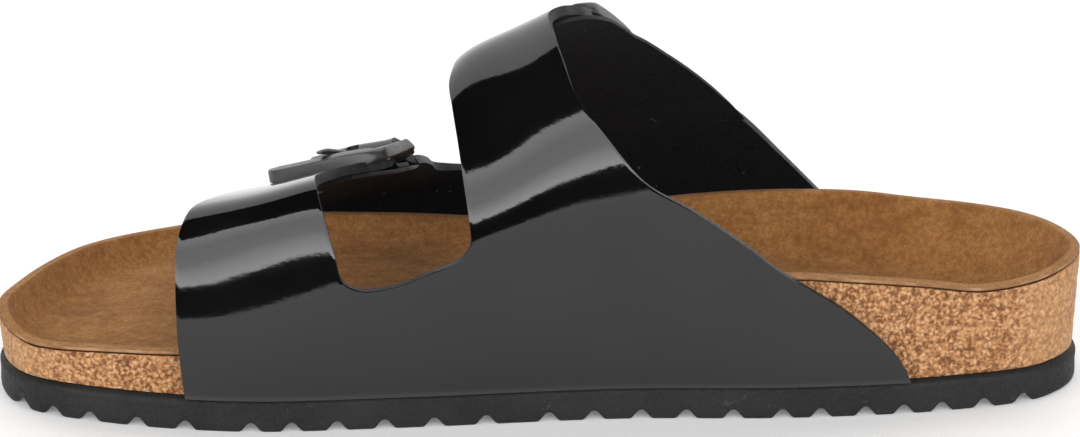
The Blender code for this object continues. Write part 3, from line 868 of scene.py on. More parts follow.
@dataclass(frozen=True)
class CorkFinish(Finish):
    """Pressed cork granules in several tans, with painted shade in their crevices and a painted highlight on
    their tops, paler and smoother at the ends.
    """

    name: str = "pressed_cork"
    dark: Triple = (0.485, 0.232, 0.093)
    # Colour of the granules' tops, in part a painted highlight.
    light: Triple = (0.76, 0.430, 0.215)
    # Painted shade in the crevices between the granules.
    crevice_shade: Triple = (0.15, 0.052, 0.016)
    worn: Triple = (0.54, 0.308, 0.150)

    def fill(self, board: NodeBoard, shader: bpy.types.Node) -> None:
        """Wire the finish into its shader.

        Args:
            board: The material's board.
            shader: Its Principled BSDF.
        """
        place = board.warped(board.place(), 800.0, 1.3)
        patch, speck = board.mottle(place, 110.0, 1050.0)
        cells = board.add("TexVoronoi", Vector=place, Scale=820.0)
        tint = board.add("SeparateColor", Color=cells.outputs["Color"]).outputs[0]
        worn = board.mark("worn")
        # The dome of each granule paints light on its top and shade towards its crevices; its tint is the
        # cork's own tone.
        dome = board.span(cells.outputs["Distance"], 0.08, 0.72, 1.0, 0.0)
        lump = board.math("MULTIPLY_ADD", speck, 0.45, board.math("MULTIPLY", dome, 0.7))
        shade = board.math("MULTIPLY_ADD", tint, 0.25, board.math("MULTIPLY", lump, 0.75))
        closing = board.math("MULTIPLY_ADD", board.mark("open"), -0.18, 0.2)
        closing = board.math("MULTIPLY_ADD", worn, 0.22, closing)
        filled = board.math("ADD", board.span(shade, 0.1, 0.55), closing)
        colour = board.blend(filled, self.crevice_shade, self.dark)
        colour = board.blend(board.span(shade, 0.4, 0.95), colour, self.light)
        colour = board.blend(board.math("MULTIPLY", worn, 0.55), colour, self.worn)
        height = board.math("MULTIPLY", lump, board.math("MULTIPLY_ADD", worn, -0.6, 1.0))
        board.wire(shader, Base_Color=colour, Roughness=board.span(patch, 0.0, 1.0, 0.55, 0.75),
                   Normal=board.bump(height, 0.5), IOR=1.4)


@dataclass(frozen=True)
class SuedeFinish(Finish):
    """Tan suede with brushed patches and a paler rim."""

    name: str = "brushed_suede"
    dark: Triple = (0.205, 0.084, 0.0245)
    light: Triple = (0.485, 0.243, 0.090)
    rim: Triple = (0.46, 0.275, 0.135)

    def fill(self, board: NodeBoard, shader: bpy.types.Node) -> None:
        """Wire the finish into its shader.

        Args:
            board: The material's board.
            shader: Its Principled BSDF.
        """
        place = board.place()
        patch, speck = board.mottle(board.stretched(place, (0.55, 1.0, 1.0)), 34.0, 260.0)
        fine_patch, fine_speck = board.mottle(place, 620.0, 1500.0)
        brushed = board.math("MULTIPLY_ADD", speck, 0.24, board.math("MULTIPLY", patch, 0.34))
        brushed = board.math("MULTIPLY_ADD", fine_patch, 0.36, brushed)
        colour = board.blend(brushed, self.dark, self.light)
        colour = board.blend(board.math("MULTIPLY", board.mark("rim"), 0.3), colour, self.rim)
        colour = board.blend(board.math("MULTIPLY", fine_speck, 0.5), colour, self.dark)
        board.wire(shader, Base_Color=colour, Roughness=board.span(patch, 0.0, 1.0, 0.9, 1.0),
                   Normal=board.bump(board.nap(place, 2300.0), 0.16),
                   Sheen_Weight=0.05, Sheen_Roughness=0.5, IOR=1.15)


@dataclass(frozen=True)
class SuedeEdgeFinish(Finish):
    """Raw cut edge of the suede along the rim."""

    name: str = "suede_edge"
    colour: Triple = (0.26, 0.125, 0.055)
    pale: Triple = (0.46, 0.270, 0.150)

    def fill(self, board: NodeBoard, shader: bpy.types.Node) -> None:
        """Wire the finish into its shader.

        Args:
            board: The material's board.
            shader: Its Principled BSDF.
        """
        place = board.place()
        patch, speck = board.mottle(place, 220.0, 1400.0)
        board.wire(shader, Base_Color=board.blend(patch, self.colour, self.pale),
                   Roughness=board.span(speck, 0.0, 1.0, 0.85, 1.0),
                   Normal=board.bump(board.nap(place, 2600.0), 0.14), IOR=1.3)


@dataclass(frozen=True)
class FoamFinish(Finish):
    """Black moulded foam with fine streaks along its edge and pale scuffs."""

    name: str = "black_foam_sole"
    colour: Triple = (0.0052, 0.0053, 0.0051)
    rubbed_and_highlight: Triple = (0.0135, 0.0136, 0.0133)
    scuff: Triple = (0.085, 0.085, 0.085)

    def fill(self, board: NodeBoard, shader: bpy.types.Node) -> None:
        """Wire the finish into its shader.

        Args:
            board: The material's board.
            shader: Its Principled BSDF.
        """
        place = board.place()
        patch, speck = board.mottle(place, 60.0, 1300.0)
        streaks = board.noise(board.stretched(board.place("UV"), (70.0, 2600.0, 1.0)), 1.0, 3.0)
        colour = board.blend(patch, self.colour, self.rubbed_and_highlight)
        colour = board.blend(board.span(streaks, 0.45, 0.75, 0.0, 0.55), colour, self.rubbed_and_highlight)
        scuffs = board.math("MULTIPLY", board.span(board.noise(place, 420.0, 4.0, 0.7), 0.60, 0.70),
                            board.span(board.noise(place, 50.0), 0.45, 0.62))
        colour = board.blend(board.math("MULTIPLY", scuffs, 0.5), colour, self.scuff)
        height = board.math("ADD", board.math("MULTIPLY", streaks, 0.6), board.noise(place, 1800.0, 3.0))
        board.wire(shader, Base_Color=colour, Roughness=board.span(speck, 0.0, 1.0, 0.58, 0.75),
                   Normal=board.bump(height, 0.07), IOR=1.45)


@dataclass(frozen=True)
class BlackMetalFinish(Finish):
    """Satin black paint on metal, worn a little paler along its corners."""

    name: str = "satin_black_metal"
    colour: Triple = (0.021, 0.021, 0.023)
    worn: Triple = (0.075, 0.075, 0.08)

    def fill(self, board: NodeBoard, shader: bpy.types.Node) -> None:
        """Wire the finish into its shader.

        Args:
            board: The material's board.
            shader: Its Principled BSDF.
        """
        place = board.place()
        patch, speck = board.mottle(place, 240.0, 1700.0)
        rub = board.span(board.add("NewGeometry").outputs["Pointiness"], 0.52, 0.6)
        board.wire(shader, Base_Color=board.blend(board.math("MULTIPLY", rub, patch), self.colour, self.worn),
                   Roughness=board.span(speck, 0.0, 1.0, 0.36, 0.48),
                   Normal=board.bump(board.noise(place, 1500.0, 2.0), 0.02), IOR=1.75)


@dataclass
class Outsole:
    """Foam sole with a notched edge and a wave tread.

    upper_edge has inset and height from the top, lower_edge inset and height from the tread.
    """

    foot: Footprint
    grooves: tuple[float, ...] = (
        -120.5, -112.5, -103.5, -92.0, -80.5, -65.0, -55.5, -45.0, -34.0, -22.5, -10.5, 4.0, 14.5, 25.5, 36.0,
        47.0, 58.5, 67.5, 78.0, 87.0, 96.0, 106.0, 115.5,
    )
    depth: float = 2.2
    floor_half: float = 0.2
    ramp: float = 2.6
    wave: float = 2.6
    first_share: float = 0.002
    groove_fade: float = 0.02
    wave_fade: float = 0.2
    smooth_angle: float = 60.0
    upper_edge: Table = (
        (1.7, 0.0), (1.3, -0.05), (1.0, -0.3), (0.55, -0.55), (0.2, -0.9), (0.02, -1.4), (0.0, -2.2),
        (0.1, -3.6),
    )
    lower_edge: Table = ((0.0, 1.9), (0.06, 1.0), (0.28, 0.4), (0.75, 0.08), (1.4, 0.0))
    stations: int = 640
    tread_columns: int = 22
    ring_points: int = 2400

    def groove_depth(self, x: Array) -> Array:
        """Depth of the tread where the inner edge is at x."""
        reach = np.abs(x[:, None] - np.array(self.grooves)).min(axis=1)
        return self.depth * (1.0 - ease((reach - self.floor_half) / self.ramp))

    def build(self) -> Piece:
        """Model the sole as a run of closed sections from heel to toe.

        Returns:
            The piece.
        """
        first = self.first_share
        shares = np.concatenate([[0.0], np.linspace(first, 1.0 - first, self.stations), [1.0]])
        to_end = np.minimum(shares, 1.0 - shares)
        ring, normals = self.foot.ring(self.ring_points)
        at = shares * self.ring_points / 2.0
        back = (self.ring_points - at) % self.ring_points
        outer, inner = self.along(ring, at), self.along(ring, back)
        depth = self.groove_depth(inner[:, 0]) * ease(to_end / self.groove_fade)
        sides = []
        for edge, normal in ((outer, self.along(normals, at)), (inner, self.along(normals, back))):
            heights = [(inset, np.full(len(edge), self.foot.outsole_t + z)) for inset, z in self.upper_edge]
            heights += [(inset, depth + z) for inset, z in self.lower_edge]
            sides.append([np.column_stack([edge - normal * inset, z]) for inset, z in heights])
        sway = self.wave * ease(to_end / self.wave_fade)
        under = []
        for share in np.linspace(0.0, 1.0, self.tread_columns)[1:-1]:
            row = sides[0][-1] * (1.0 - share) + sides[1][-1] * share
            row[:, 0] += sway * math.sin(2.0 * math.pi * share)
            under.append(row)
        over = [sides[1][0] * (1.0 - share) + sides[0][0] * share for share in (0.25, 0.5, 0.75)]
        loop = np.stack(sides[0] + under + sides[1][::-1] + over + sides[0][:1], axis=1)
        along = np.repeat(run_of(outer)[:, None], loop.shape[1], axis=1)
        uv = np.stack([along, loop[:, :, 2]], axis=2) * MM
        piece = Workbench.weld(Workbench.patch("foam_outsole", loop, uv), [], closed=True)
        Workbench.pick(piece)
        bpy.ops.object.shade_smooth_by_angle(angle=math.radians(self.smooth_angle))
        piece.data.materials.append(FoamFinish().material())
        Workbench.seat(piece, "outsole", Slot.FOAM)
        return piece

    @staticmethod
    def along(rows: Array, at: Array) -> Array:
        """Rows of a closed ring at places between them.

        Args:
            rows: Points or normals of the ring.
            at: Places, counted in rows.

        Returns:
            A row for each place.
        """
        i = np.floor(at).astype(int)
        t = (at - i)[:, None]
        return rows[i % len(rows)] * (1.0 - t) + rows[(i + 1) % len(rows)] * t


@dataclass
class Footbed:
    """Top of the footbed, which the cork and the suede share.

    ridges has soft forms of the floor: x, y, half length, half width and height.
    """

    foot: Footprint
    insets: tuple[float, ...] = (
        0.0, 0.4, 0.9, 1.4, 1.9, 2.2, 2.5, 2.9, 3.5, 4.2, 5.1, 6.2, 7.3, 8.5, 9.8, 11.2, 12.6,
    )
    inner_shares: tuple[float, ...] = (0.12, 0.26, 0.42, 0.6, 0.8, 1.0)
    ridges: Table = (
        (-92.0, -2.0, 7.0, 34.0, 1.5),
        (-112.0, -8.0, 9.0, 24.0, -0.7),
        (-70.0, -4.0, 12.0, 30.0, -0.9),
        (-18.0, 2.0, 20.0, 13.0, 1.8),
        (98.0, 0.0, 22.0, 18.0, -0.8),
    )
    toe_end: float = -98.0
    toe_fade: float = 40.0
    lip_soft: float = 0.0316
    wall_bow: float = 2.3

    def rings(self, count: int, drop: float, insets: tuple[float, ...] | None = None) -> Array:
        """Rings of the top from the rim to the middle line.

        Args:
            count: Points in a ring.
            drop: How far the rings lie below the top.
            insets: Distances from the rim, or the usual ones.

        Returns:
            Rows of points, a row for each ring.
        """
        foot = self.foot
        points, normals = foot.ring(count)
        rim = foot.rim(points)
        flare = foot.flare(points)
        rows = []
        for inset in insets or self.insets:
            place = points + normals * (flare - foot.cork_inset - inset)[:, None]
            fall = self.fall(inset, place[:, 0])
            lip = foot.rim_drop * (1.0 - ease(inset / foot.drop_run))
            height = rim + (self.floor(place) - rim) * fall - lip
            rows.append(np.column_stack([place, height - drop]))
        last = rows[-1]
        middle = self.middle_line(last)
        for share in self.inner_shares:
            row = last * (1.0 - share) + middle * share
            fall = self.fall(max(insets or self.insets), row[:, 0])
            row[:, 2] = row[:, 2] * (1.0 - fall) + (self.floor(row[:, :2]) - drop) * fall
            rows.append(row)
        return np.stack(rows)

    def fall(self, inset: float, x: Array) -> Array:
        """Share of the way down from the rim to the floor, steep at first and steepest at the toe.

        Args:
            inset: Distance from the rim.
            x: Places along the foot.

        Returns:
            0 at the rim to 1 on the floor, at each place.
        """
        foot = self.foot
        run = foot.toe_run + (foot.wall_run - foot.toe_run) * ease((x - self.toe_end) / self.toe_fade)
        t = max(0.0, inset - foot.rim_lip) / run
        t = np.hypot(t, self.lip_soft) - self.lip_soft
        return 1.0 - (1.0 - np.clip(t, 0.0, 1.0)) ** self.wall_bow

    @staticmethod
    def middle_line(ring: Array, short: float = 0.07) -> Array:
        """Places on the middle line that the points of a ring run in to.

        Args:
            ring: Ring from the heel round the outer side.
            short: Share of the line that is left out at each end.

        Returns:
            A place for each point of the ring.
        """
        half = len(ring) // 2
        mids = (ring[:half + 1] + ring[-np.arange(half + 1)]) / 2.0
        share = np.linspace(short, 1.0 - short, half + 1) * half
        line = np.stack([np.interp(share, np.arange(half + 1), column) for column in mids.T], axis=1)
        return np.vstack([line, line[-2:0:-1]])

    def floor(self, place: Array) -> Array:
        """Height of the floor with its soft forms.

        Args:
            place: Rows of x, y.

        Returns:
            A height for each row.
        """
        height = column_at(self.foot.bed, 3, place[:, 0])
        for x, y, half_x, half_y, rise in self.ridges:
            reach = ((place[:, 0] - x) / half_x) ** 2 + ((place[:, 1] - y) / half_y) ** 2
            height = height + rise * np.exp(-reach)
        return height


@dataclass
class CorkBlock:
    """Cork footbed whose side shows its granules."""

    bed: Footbed
    points: int = 1200
    wall_rows: int = 44
    bulge: float = 0.34
    cap_insets: tuple[float, ...] = (0.0, 1.5, 3.5, 6.0, 9.0, 12.6)
    cap_drop: float = 1.0
    lump_size: float = 2.2
    patch_size: float = 16.0
    lump_level: float = 0.6
    worn_from: float = 106.0
    worn_run: float = 20.0
    worn_least: float = 0.55
    worn_flat: float = 0.6
    edge_fade: float = 0.05
    waves: int = 14
    wave_range: tuple[float, float] = (0.6, 1.6)
    seed: int = 8

    def patches(self, along: Array, up: Array, size: float) -> Array:
        """Soft patches of about one size, from 0 to 1.

        Args:
            along: Run along the edge.
            up: Height.
            size: Usual width of a patch.

        Returns:
            A value for each place.
        """
        rng = np.random.default_rng(self.seed)
        value = np.zeros(along.shape)
        for _ in range(self.waves):
            turn, phase = rng.uniform(0.0, math.tau, 2)
            wave = size * rng.uniform(*self.wave_range)
            value += np.sin((along * math.cos(turn) + up * math.sin(turn)) * math.tau / wave + phase)
        return ease(value / (self.waves / 2.0) + 0.5)

    def build(self) -> Piece:
        """Model the block as rings from the underside's middle line over the side to the top's middle line.

        Returns:
            The piece.
        """
        foot = self.bed.foot
        edge, normals = foot.ring(self.points)
        low = np.full(self.points, foot.outsole_t + foot.gap)
        base = np.column_stack([edge - normals * foot.cork_inset, low])
        cap = self.bed.rings(self.points, foot.lining_t + foot.gap, self.cap_insets)
        cap[1:, :, 2] -= self.cap_drop
        length = run_of(np.vstack([edge, edge[:1]]))
        shares = np.linspace(0.0, 1.0, self.wall_rows)[:, None]
        wall = base[None] * (1.0 - shares[:, :, None]) + cap[:1] * shares[:, :, None]
        along = np.repeat(length[None, :-1], self.wall_rows, axis=0)
        lump = self.patches(along, wall[:, :, 2], self.lump_size)
        opened = self.patches(along, wall[:, :, 2], self.patch_size)
        worn = ease((np.abs(wall[:, :, 0]) - self.worn_from) / self.worn_run)
        worn = worn * (self.worn_least + (1.0 - self.worn_least) * opened)
        out = self.bulge * (lump - self.lump_level) * (1.0 - self.worn_flat * worn)
        out = out * ease(np.minimum(shares, 1.0 - shares) / self.edge_fade)
        wall[:, :, :2] += normals[None] * out[:, :, None]
        under = self.bed.middle_line(base)
        points = np.concatenate([under[None], wall, cap[1:]])
        points = np.concatenate([points, points[:, :1]], axis=1)
        marks = {}
        for name, values in (("open", opened), ("worn", worn)):
            values = np.pad(values, ((1, len(cap) - 1), (0, 0)), mode="edge")
            marks[name] = np.concatenate([values, values[:, :1]], axis=1)
        uv = np.stack([np.repeat(length[None], len(points), axis=0), points[:, :, 2]], axis=2) * MM
        piece = Workbench.weld(Workbench.patch("cork_block", points, uv, marks=marks), [], closed=True)
        Workbench.pick(piece)
        bpy.ops.object.shade_smooth()
        piece.data.materials.append(CorkFinish().material())
        Workbench.seat(piece, "cork_footbed", Slot.CORK)
        return piece


@dataclass
class SuedeLining:
    """Suede laid over the cork and trimmed at the rim."""

    bed: Footbed
    points: int = 512
    inner_run: float = 20.0
    rim_from: float = 1.7
    rim_fade: float = 0.8
    edge_round: float = 0.4

    def build(self) -> Piece:
        """Model the skin as one sheet and give it its thickness.

        Returns:
            The piece.
        """
        rings = self.bed.rings(self.points, 0.0)
        rings = np.concatenate([rings, rings[:, :1]], axis=1)
        inner = self.bed.insets[-1] + self.inner_run * np.array(self.bed.inner_shares)
        insets = np.concatenate([self.bed.insets, inner])
        rim = 1.0 - ease((insets - self.rim_from) / self.rim_fade)
        rim = np.repeat(rim[:, None], rings.shape[1], axis=1)
        length = run_of(rings[0])
        uv = np.stack(np.meshgrid(length, insets), axis=2) * MM
        piece = Workbench.patch("suede_lining", rings[::-1], uv[::-1], marks={"rim": rim[::-1]})
        piece = Workbench.weld(piece, [], closed=False)
        upward(piece)
        for finish in (SuedeFinish(), SuedeEdgeFinish()):
            piece.data.materials.append(finish.material())
        Workbench.modify(piece, "SOLIDIFY", thickness=self.bed.foot.lining_t * MM, offset=-1.0,
                         material_offset_rim=1)
        Workbench.round_edges(piece, self.edge_round)
        Workbench.seat(piece, "footbed_lining", Slot.SUEDE)
        return piece


def upward(piece: Piece) -> None:
    """Turn a sheet's faces so that most of them look up.

    Args:
        piece: The sheet.
    """
    normals = np.zeros(len(piece.data.polygons) * 3)
    piece.data.polygons.foreach_get("normal", normals)
    if normals.reshape(-1, 3)[:, 2].mean() < 0.0:
        piece.data.flip_normals()


@dataclass
class BuckleSeat:
    """Place of a buckle on the wall: s runs along the strap to the outer side, w towards the heel.

    The tongue passes under the near bar, over the hinge bar and down on the short strap.
    """

    last: Last
    x: float
    girth: float
    turn: float
    bar_reach: float = 10.0
    tongue_half: float = 11.5
    loop_half: float = 10.4
    tongue_tip: float = 26.0
    tip_round: float = 9.0
    tip_rise: float = 0.5
    rise_from: float = 17.0
    rise_run: float = 6.0
    shoulder: float = 0.0
    tongue_t: float = 1.9
    climb_from: float = 7.5
    climb_run: float = 7.0
    thin_from: float = -6.0
    thin_run: float = 10.0
    lap_to: float = 20.0
    pin_r: float = 1.2
    pin_lift: float = 0.4
    loop_t: float = 1.1
    loop_fall: float = 12.0
    gap: float = 0.3
    strap: Array = field(init=False)
    cross: Array = field(init=False)

    def __post_init__(self) -> None:
        """Work out how s and w run over the pattern."""
        x, g = self.x, self.girth
        near = self.last.lifted(np.array([[x - 0.5, g], [x + 0.5, g], [x, g - 0.5], [x, g + 0.5]]), 0.0)
        along, up = near[1] - near[0], near[3] - near[2]
        normal = np.cross(along, up)
        normal /= np.linalg.norm(normal)
        rise = up / np.linalg.norm(up)
        side = np.cross(normal, rise)
        side *= np.sign(side[0])
        angle = math.radians(self.turn)
        plane = np.column_stack([along, up])
        strap = rise * math.cos(angle) + side * math.sin(angle)
        cross = side * math.cos(angle) - rise * math.sin(angle)
        self.strap = np.linalg.lstsq(plane, strap, rcond=None)[0]
        self.cross = np.linalg.lstsq(plane, cross, rcond=None)[0]

    def flat(self, s: Array | float, w: Array | float) -> Array:
        """Pattern places of s and w."""
        s, w = np.asarray(s, float)[..., None], np.asarray(w, float)[..., None]
        return np.array([self.x, self.girth]) + s * self.strap + w * self.cross

    def point(self, s: Array, w: Array, lift: Array) -> Array:
        """Points in space of s, w and a height above the wall."""
        return self.last.lifted(self.flat(s, w), lift)

    def loop_height(self, s: Array | float) -> Array:
        """Outer face of the short strap where it climbs over the hinge bar."""
        crest = self.pin_lift + self.pin_r + self.gap + self.loop_t
        return crest * (1.0 - ease((np.asarray(s) - self.bar_reach) / self.loop_fall))

    def tongue_lift(self, s: Array) -> Array:
        """Outer face of the tongue along its run.

        Args:
            s: Places along the strap.

        Returns:
            A height above the wall for each.
        """
        over = self.loop_height(self.bar_reach) + self.gap + self.tongue_t
        climb = over * ease((s - self.bar_reach + self.climb_from) / self.climb_run)
        rise = self.tip_rise * ease((s - self.rise_from) / self.rise_run)
        rest = self.loop_height(s) + self.gap + rise + self.tongue_t
        return np.where(s < self.bar_reach, climb, rest)

    def tongue_share(self, s: Array) -> Array:
        """Share of the strap's full thickness that the tongue has along its run."""
        return 1.0 - (1.0 - self.tongue_t / self.last.thick) * ease((s - self.thin_from) / self.thin_run)


@dataclass
class Punch:
    """A rounded slot in a strap: from s to s along its middle, and its radius."""

    start: float
    end: float
    radius: float

    def cut(self, s: Array, w: Array) -> Array:
        """Cells that the slot takes out, with the points round it moved to its edge.

        Args:
            s: Places along the strap, changed in place.
            w: Places across the strap, changed in place.

        Returns:
            Which cells go.
        """
        mid_s = (s[:-1, :-1] + s[1:, :-1] + s[:-1, 1:] + s[1:, 1:]) / 4.0
        mid_w = (w[:-1, :-1] + w[1:, :-1] + w[:-1, 1:] + w[1:, 1:]) / 4.0
        gone = np.hypot(mid_s - np.clip(mid_s, self.start, self.end), mid_w) < self.radius
        touched, kept = np.zeros(s.shape, int), np.zeros(s.shape, int)
        for r, c in ((slice(None, -1), slice(None, -1)), (slice(1, None), slice(None, -1)),
                     (slice(None, -1), slice(1, None)), (slice(1, None), slice(1, None))):
            touched[r, c] += gone
            kept[r, c] += ~gone
        rim = (touched > 0) & (kept > 0)
        core = np.clip(s, self.start, self.end)
        reach = np.maximum(np.hypot(s - core, w), 0.05)
        s[rim] = (core + (s - core) * self.radius / reach)[rim]
        w[rim] = (w * self.radius / reach)[rim]
        return gone


@dataclass
class PatternSide:
    """Flat pattern of one side's panel and straps: x and girth from the base of that side.

    A strap's row is a fold: front edge x, girth, then rear edge x, girth.
    """

    front_edge: Table
    rear_edge: Table
    cutout: Table
    front_strap: Table
    rear_strap: Table


INNER_PATTERN = PatternSide(
    front_edge=((-80.0, 0.0), (-81.2, 12.0), (-81.8, 24.0), (-81.9, 28.5)),
    rear_edge=((88.3, 0.0), (86.9, 3.5), (84.0, 7.7), (78.0, 13.8), (71.4, 19.4), (57.6, 28.5), (47.6, 36.4)),
    cutout=((-43.3, 29.0), (-41.3, 27.5), (-37.9, 26.5), (-30.0, 27.7), (-23.1, 30.4), (-16.3, 33.2),
            (-14.0, 36.5)),
    front_strap=(
        (-81.9, 28.5, -43.3, 29.0),
        (-82.0, 34.8, -45.1, 35.2),
        (-81.2, 40.0, -46.6, 40.3),
        (-79.8, 45.2, -48.0, 45.0),
        (-78.2, 50.2, -49.5, 50.5),
        (-76.4, 56.0, -50.4, 55.5),
        (-73.0, 65.5, -50.6, 63.5),
        (-68.3, 77.5, -48.0, 74.5),
    ),
    rear_strap=(
        (-14.0, 36.5, 47.6, 36.4),
        (-14.3, 42.5, 36.3, 44.1),
        (-15.6, 50.5, 26.4, 50.0),
        (-17.2, 60.0, 17.6, 60.3),
        (-18.9, 69.3, 9.9, 70.7),
        (-20.2, 77.5, 6.2, 80.5),
        (-19.6, 85.0, 3.6, 89.0),
        (-18.6, 94.0, 2.4, 98.0),
        (-15.8, 105.5, 6.2, 108.0),
    ),
)

OUTER_PATTERN = PatternSide(
    front_edge=((-62.0, 0.0), (-62.0, 7.0), (-61.4, 13.5)),
    rear_edge=((86.0, 0.0), (82.0, 6.0), (75.0, 14.2), (67.5, 21.5)),
    cutout=((-28.2, 27.0), (-25.4, 24.6), (-20.0, 23.8), (-15.5, 25.2), (-12.0, 28.0)),
    front_strap=(
        (-61.4, 13.5, -28.2, 27.0),
        (-59.4, 22.5, -29.6, 34.0),
    ),
    rear_strap=(
        (-12.0, 28.0, 67.5, 21.5),
        (-4.5, 33.0, 57.5, 31.6),
        (1.5, 39.5, 47.5, 42.0),
    ),
)


@dataclass
class UpperSide:
    """One side of the upper: a panel in one piece with two straps, patent outside and felt inside."""

    last: Last
    side: Side
    pattern: PatternSide
    front: BuckleSeat
    rear: BuckleSeat
    front_columns: int = 36
    rear_columns: int = 48
    cut_columns: int = 38
    panel_rows: int = 34
    cell: float = 0.95
    flare: float = 7.6
    flare_from: float = 1.0
    flare_run: float = 9.0
    edge_round: float = 0.55
    tongue_stops: tuple[float, float] = (-13.0, -5.0)
    loop_guide: float = 15.0
    shoulder_run: float = 12.0
    slot: Punch = field(default_factory=lambda: Punch(4.0, 8.0, 1.6))
    holes: tuple[float, ...] = (-0.8, 13.4, 19.6)
    hole_r: float = 1.0
    flap_front: Table = ((-14.0, 11.4), (12.0, 11.5), (18.0, 10.6), (24.0, 9.0))
    flap_rear: Table = (
        (-22.0, 12.5), (-16.0, 15.4), (-13.0, 16.8), (-7.8, 18.0), (-2.4, 18.2), (2.7, 18.5), (5.9, 19.6),
        (12.5, 21.6), (18.4, 24.0), (26.0, 27.3), (32.0, 29.8), (37.0, 31.4),
    )
    flap_t: float = 1.0
    flap_round: float = 4.0
    flap_narrow: float = 3.0
    flap_margin: float = 0.6
    flap_widen: float = 2.0
    widen_from: float = 8.0
    widen_run: float = 8.0
    flap_least: float = 0.05
    flap_fade: float = 10.0
    tip_run: float = 1.5
    tip_least: float = 0.35
    tip_steps: tuple[float, ...] = (1.2, 0.7, 0.3, 0.0)
    end_cell: float = 0.75
    flap_cells: int = 30
    flap_gap: float = 0.15
    under_step: float = 0.8
    under_run: float = 5.0
    turned_rows: int = 4
    loop_thin_run: float = 8.0
    prong_gap: float = 1.7
    prong_rows: int = 4

    def end_widths(self, seat: BuckleSeat, s: float) -> tuple[float, float]:
        """How far a strap's end reaches to its front and to its rear at s.

        Args:
            seat: The strap's buckle.
            s: Place along the strap.

        Returns:
            Both reaches, the front one below zero.
        """
        if self.side is Side.INNER:
            narrowing = ease((s - self.tongue_stops[0]) / self.shoulder_run)
            return -seat.tongue_half, seat.tongue_half + seat.shoulder * (1.0 - narrowing)
        flare = self.flare * ease((s - seat.bar_reach - self.flare_from) / self.flare_run)
        return -seat.loop_half, seat.loop_half + (flare if seat is self.rear else 0.0)

    def under_loop(self, seat: BuckleSeat) -> Array:
        """Places along the stretch of a loop that faces the foot."""
        return np.arange(seat.bar_reach + self.under_step, seat.bar_reach + self.under_run, self.under_step)

    def end_stops(self, seat: BuckleSeat) -> tuple[float, float]:
        """Where a strap's end piece begins, and a place further on that sets its direction."""
        return self.tongue_stops if self.side is Side.INNER else (seat.lap_to, self.loop_guide)

    def to_inner(self, flat: Array) -> Array:
        """Pattern places with girths from the inner base."""
        return flat if self.side is Side.INNER else self.last.from_outer_base(flat)

    def edges(self, table: Table, seat: BuckleSeat) -> tuple[Array, Array]:
        """Front and rear edge points of a strap, its end piece included.

        Args:
            table: Folds of the strap.
            seat: Its buckle.

        Returns:
            Rows of x and girth for each edge.
        """
        rows = np.array(table)
        front, rear = [rows[:, :2]], [rows[:, 2:]]
        for s in self.end_stops(seat):
            low, high = self.end_widths(seat, s)
            front.append(self.to_inner(seat.flat(s, low))[None])
            rear.append(self.to_inner(seat.flat(s, high))[None])
        return np.vstack(front), np.vstack(rear)

    def outlines(self) -> dict[str, Array]:
        """Dense edges of the panel and straps, smooth where one runs into the other.

        Returns:
            The panel's left, right and cut-out edges, and the front and rear edge of each strap.
        """
        steps = CURVE_STEPS
        ff, fr = self.edges(self.pattern.front_strap, self.front)
        rf, rr = self.edges(self.pattern.rear_strap, self.rear)
        left = np.array(self.pattern.front_edge)
        right = np.array(self.pattern.rear_edge)
        cut = np.array(self.pattern.cutout)
        front = path_through(np.vstack([left, ff[1:]]))
        rear = path_through(np.vstack([right, rr[1:]]))
        middle = path_through(np.vstack([fr[:0:-1], cut, rf[1:]]))
        a, b = (len(left) - 1) * steps, (len(right) - 1) * steps
        c = (len(fr) - 1) * steps
        d = c + (len(cut) - 1) * steps
        n, m = (len(ff) - 2) * steps, (len(rf) - 2) * steps
        return {
            "left": front[:a + 1], "right": rear[:b + 1], "cut": middle[c:d + 1],
            "front_front": front[a:a + n + 1], "front_rear": middle[c - n:c + 1][::-1],
            "rear_front": middle[d:d + m + 1], "rear_rear": rear[b:b + m + 1],
        }

    def strap_rows(self, front: Array, rear: Array, columns: int) -> Array:
        """Pattern grid of a strap between its foot and its end piece.

        Args:
            front: The strap's front edge.
            rear: Its rear edge.
            columns: Cells across.

        Returns:
            Rows and columns of x and girth.
        """
        run = (run_of(front) + run_of(rear)) / 2.0
        at = np.linspace(0.0, run[-1], max(4, int(run[-1] / self.cell)))
        ends = [[np.interp(at, run, edge[:, k]) for edge in (front, rear)] for k in (0, 1)]
        return np.stack([across(*pair, columns) for pair in ends], axis=2)

    def panel_grid(self, lines: dict[str, Array]) -> Array:
        """Pattern grid of the panel from its base to the feet of its straps.

        Args:
            lines: Edges of the panel and straps.

        Returns:
            Rows and columns of x and girth.
        """
        def between(a: Array, b: Array, count: int) -> Array:
            """Points from one place to another."""
            share = np.linspace(0.0, 1.0, count + 1)[:, None]
            return a * (1.0 - share) + b * share

        top = np.vstack([
            between(lines["left"][-1], lines["cut"][0], self.front_columns),
            spaced(lines["cut"], np.linspace(0.0, 1.0, self.cut_columns + 1))[1:-1],
            between(lines["cut"][-1], lines["right"][-1], self.rear_columns),
        ])
        shares = run_of(top) / run_of(top)[-1]
        v = np.linspace(0.0, 1.0, self.panel_rows + 1)
        left, right = spaced(lines["left"], v), spaced(lines["right"], v)
        bottom = left[0] * (1.0 - shares[:, None]) + right[0] * shares[:, None]
        u, v = np.linspace(0.0, 1.0, len(top))[None, :, None], v[:, None, None]
        ruled = bottom[None] * (1.0 - v) + top[None] * v + left[:, None] * (1.0 - u) + right[:, None] * u
        low = bottom[0] * (1.0 - u) + bottom[-1] * u
        high = top[0] * (1.0 - u) + top[-1] * u
        return ruled - low * (1.0 - v) - high * v

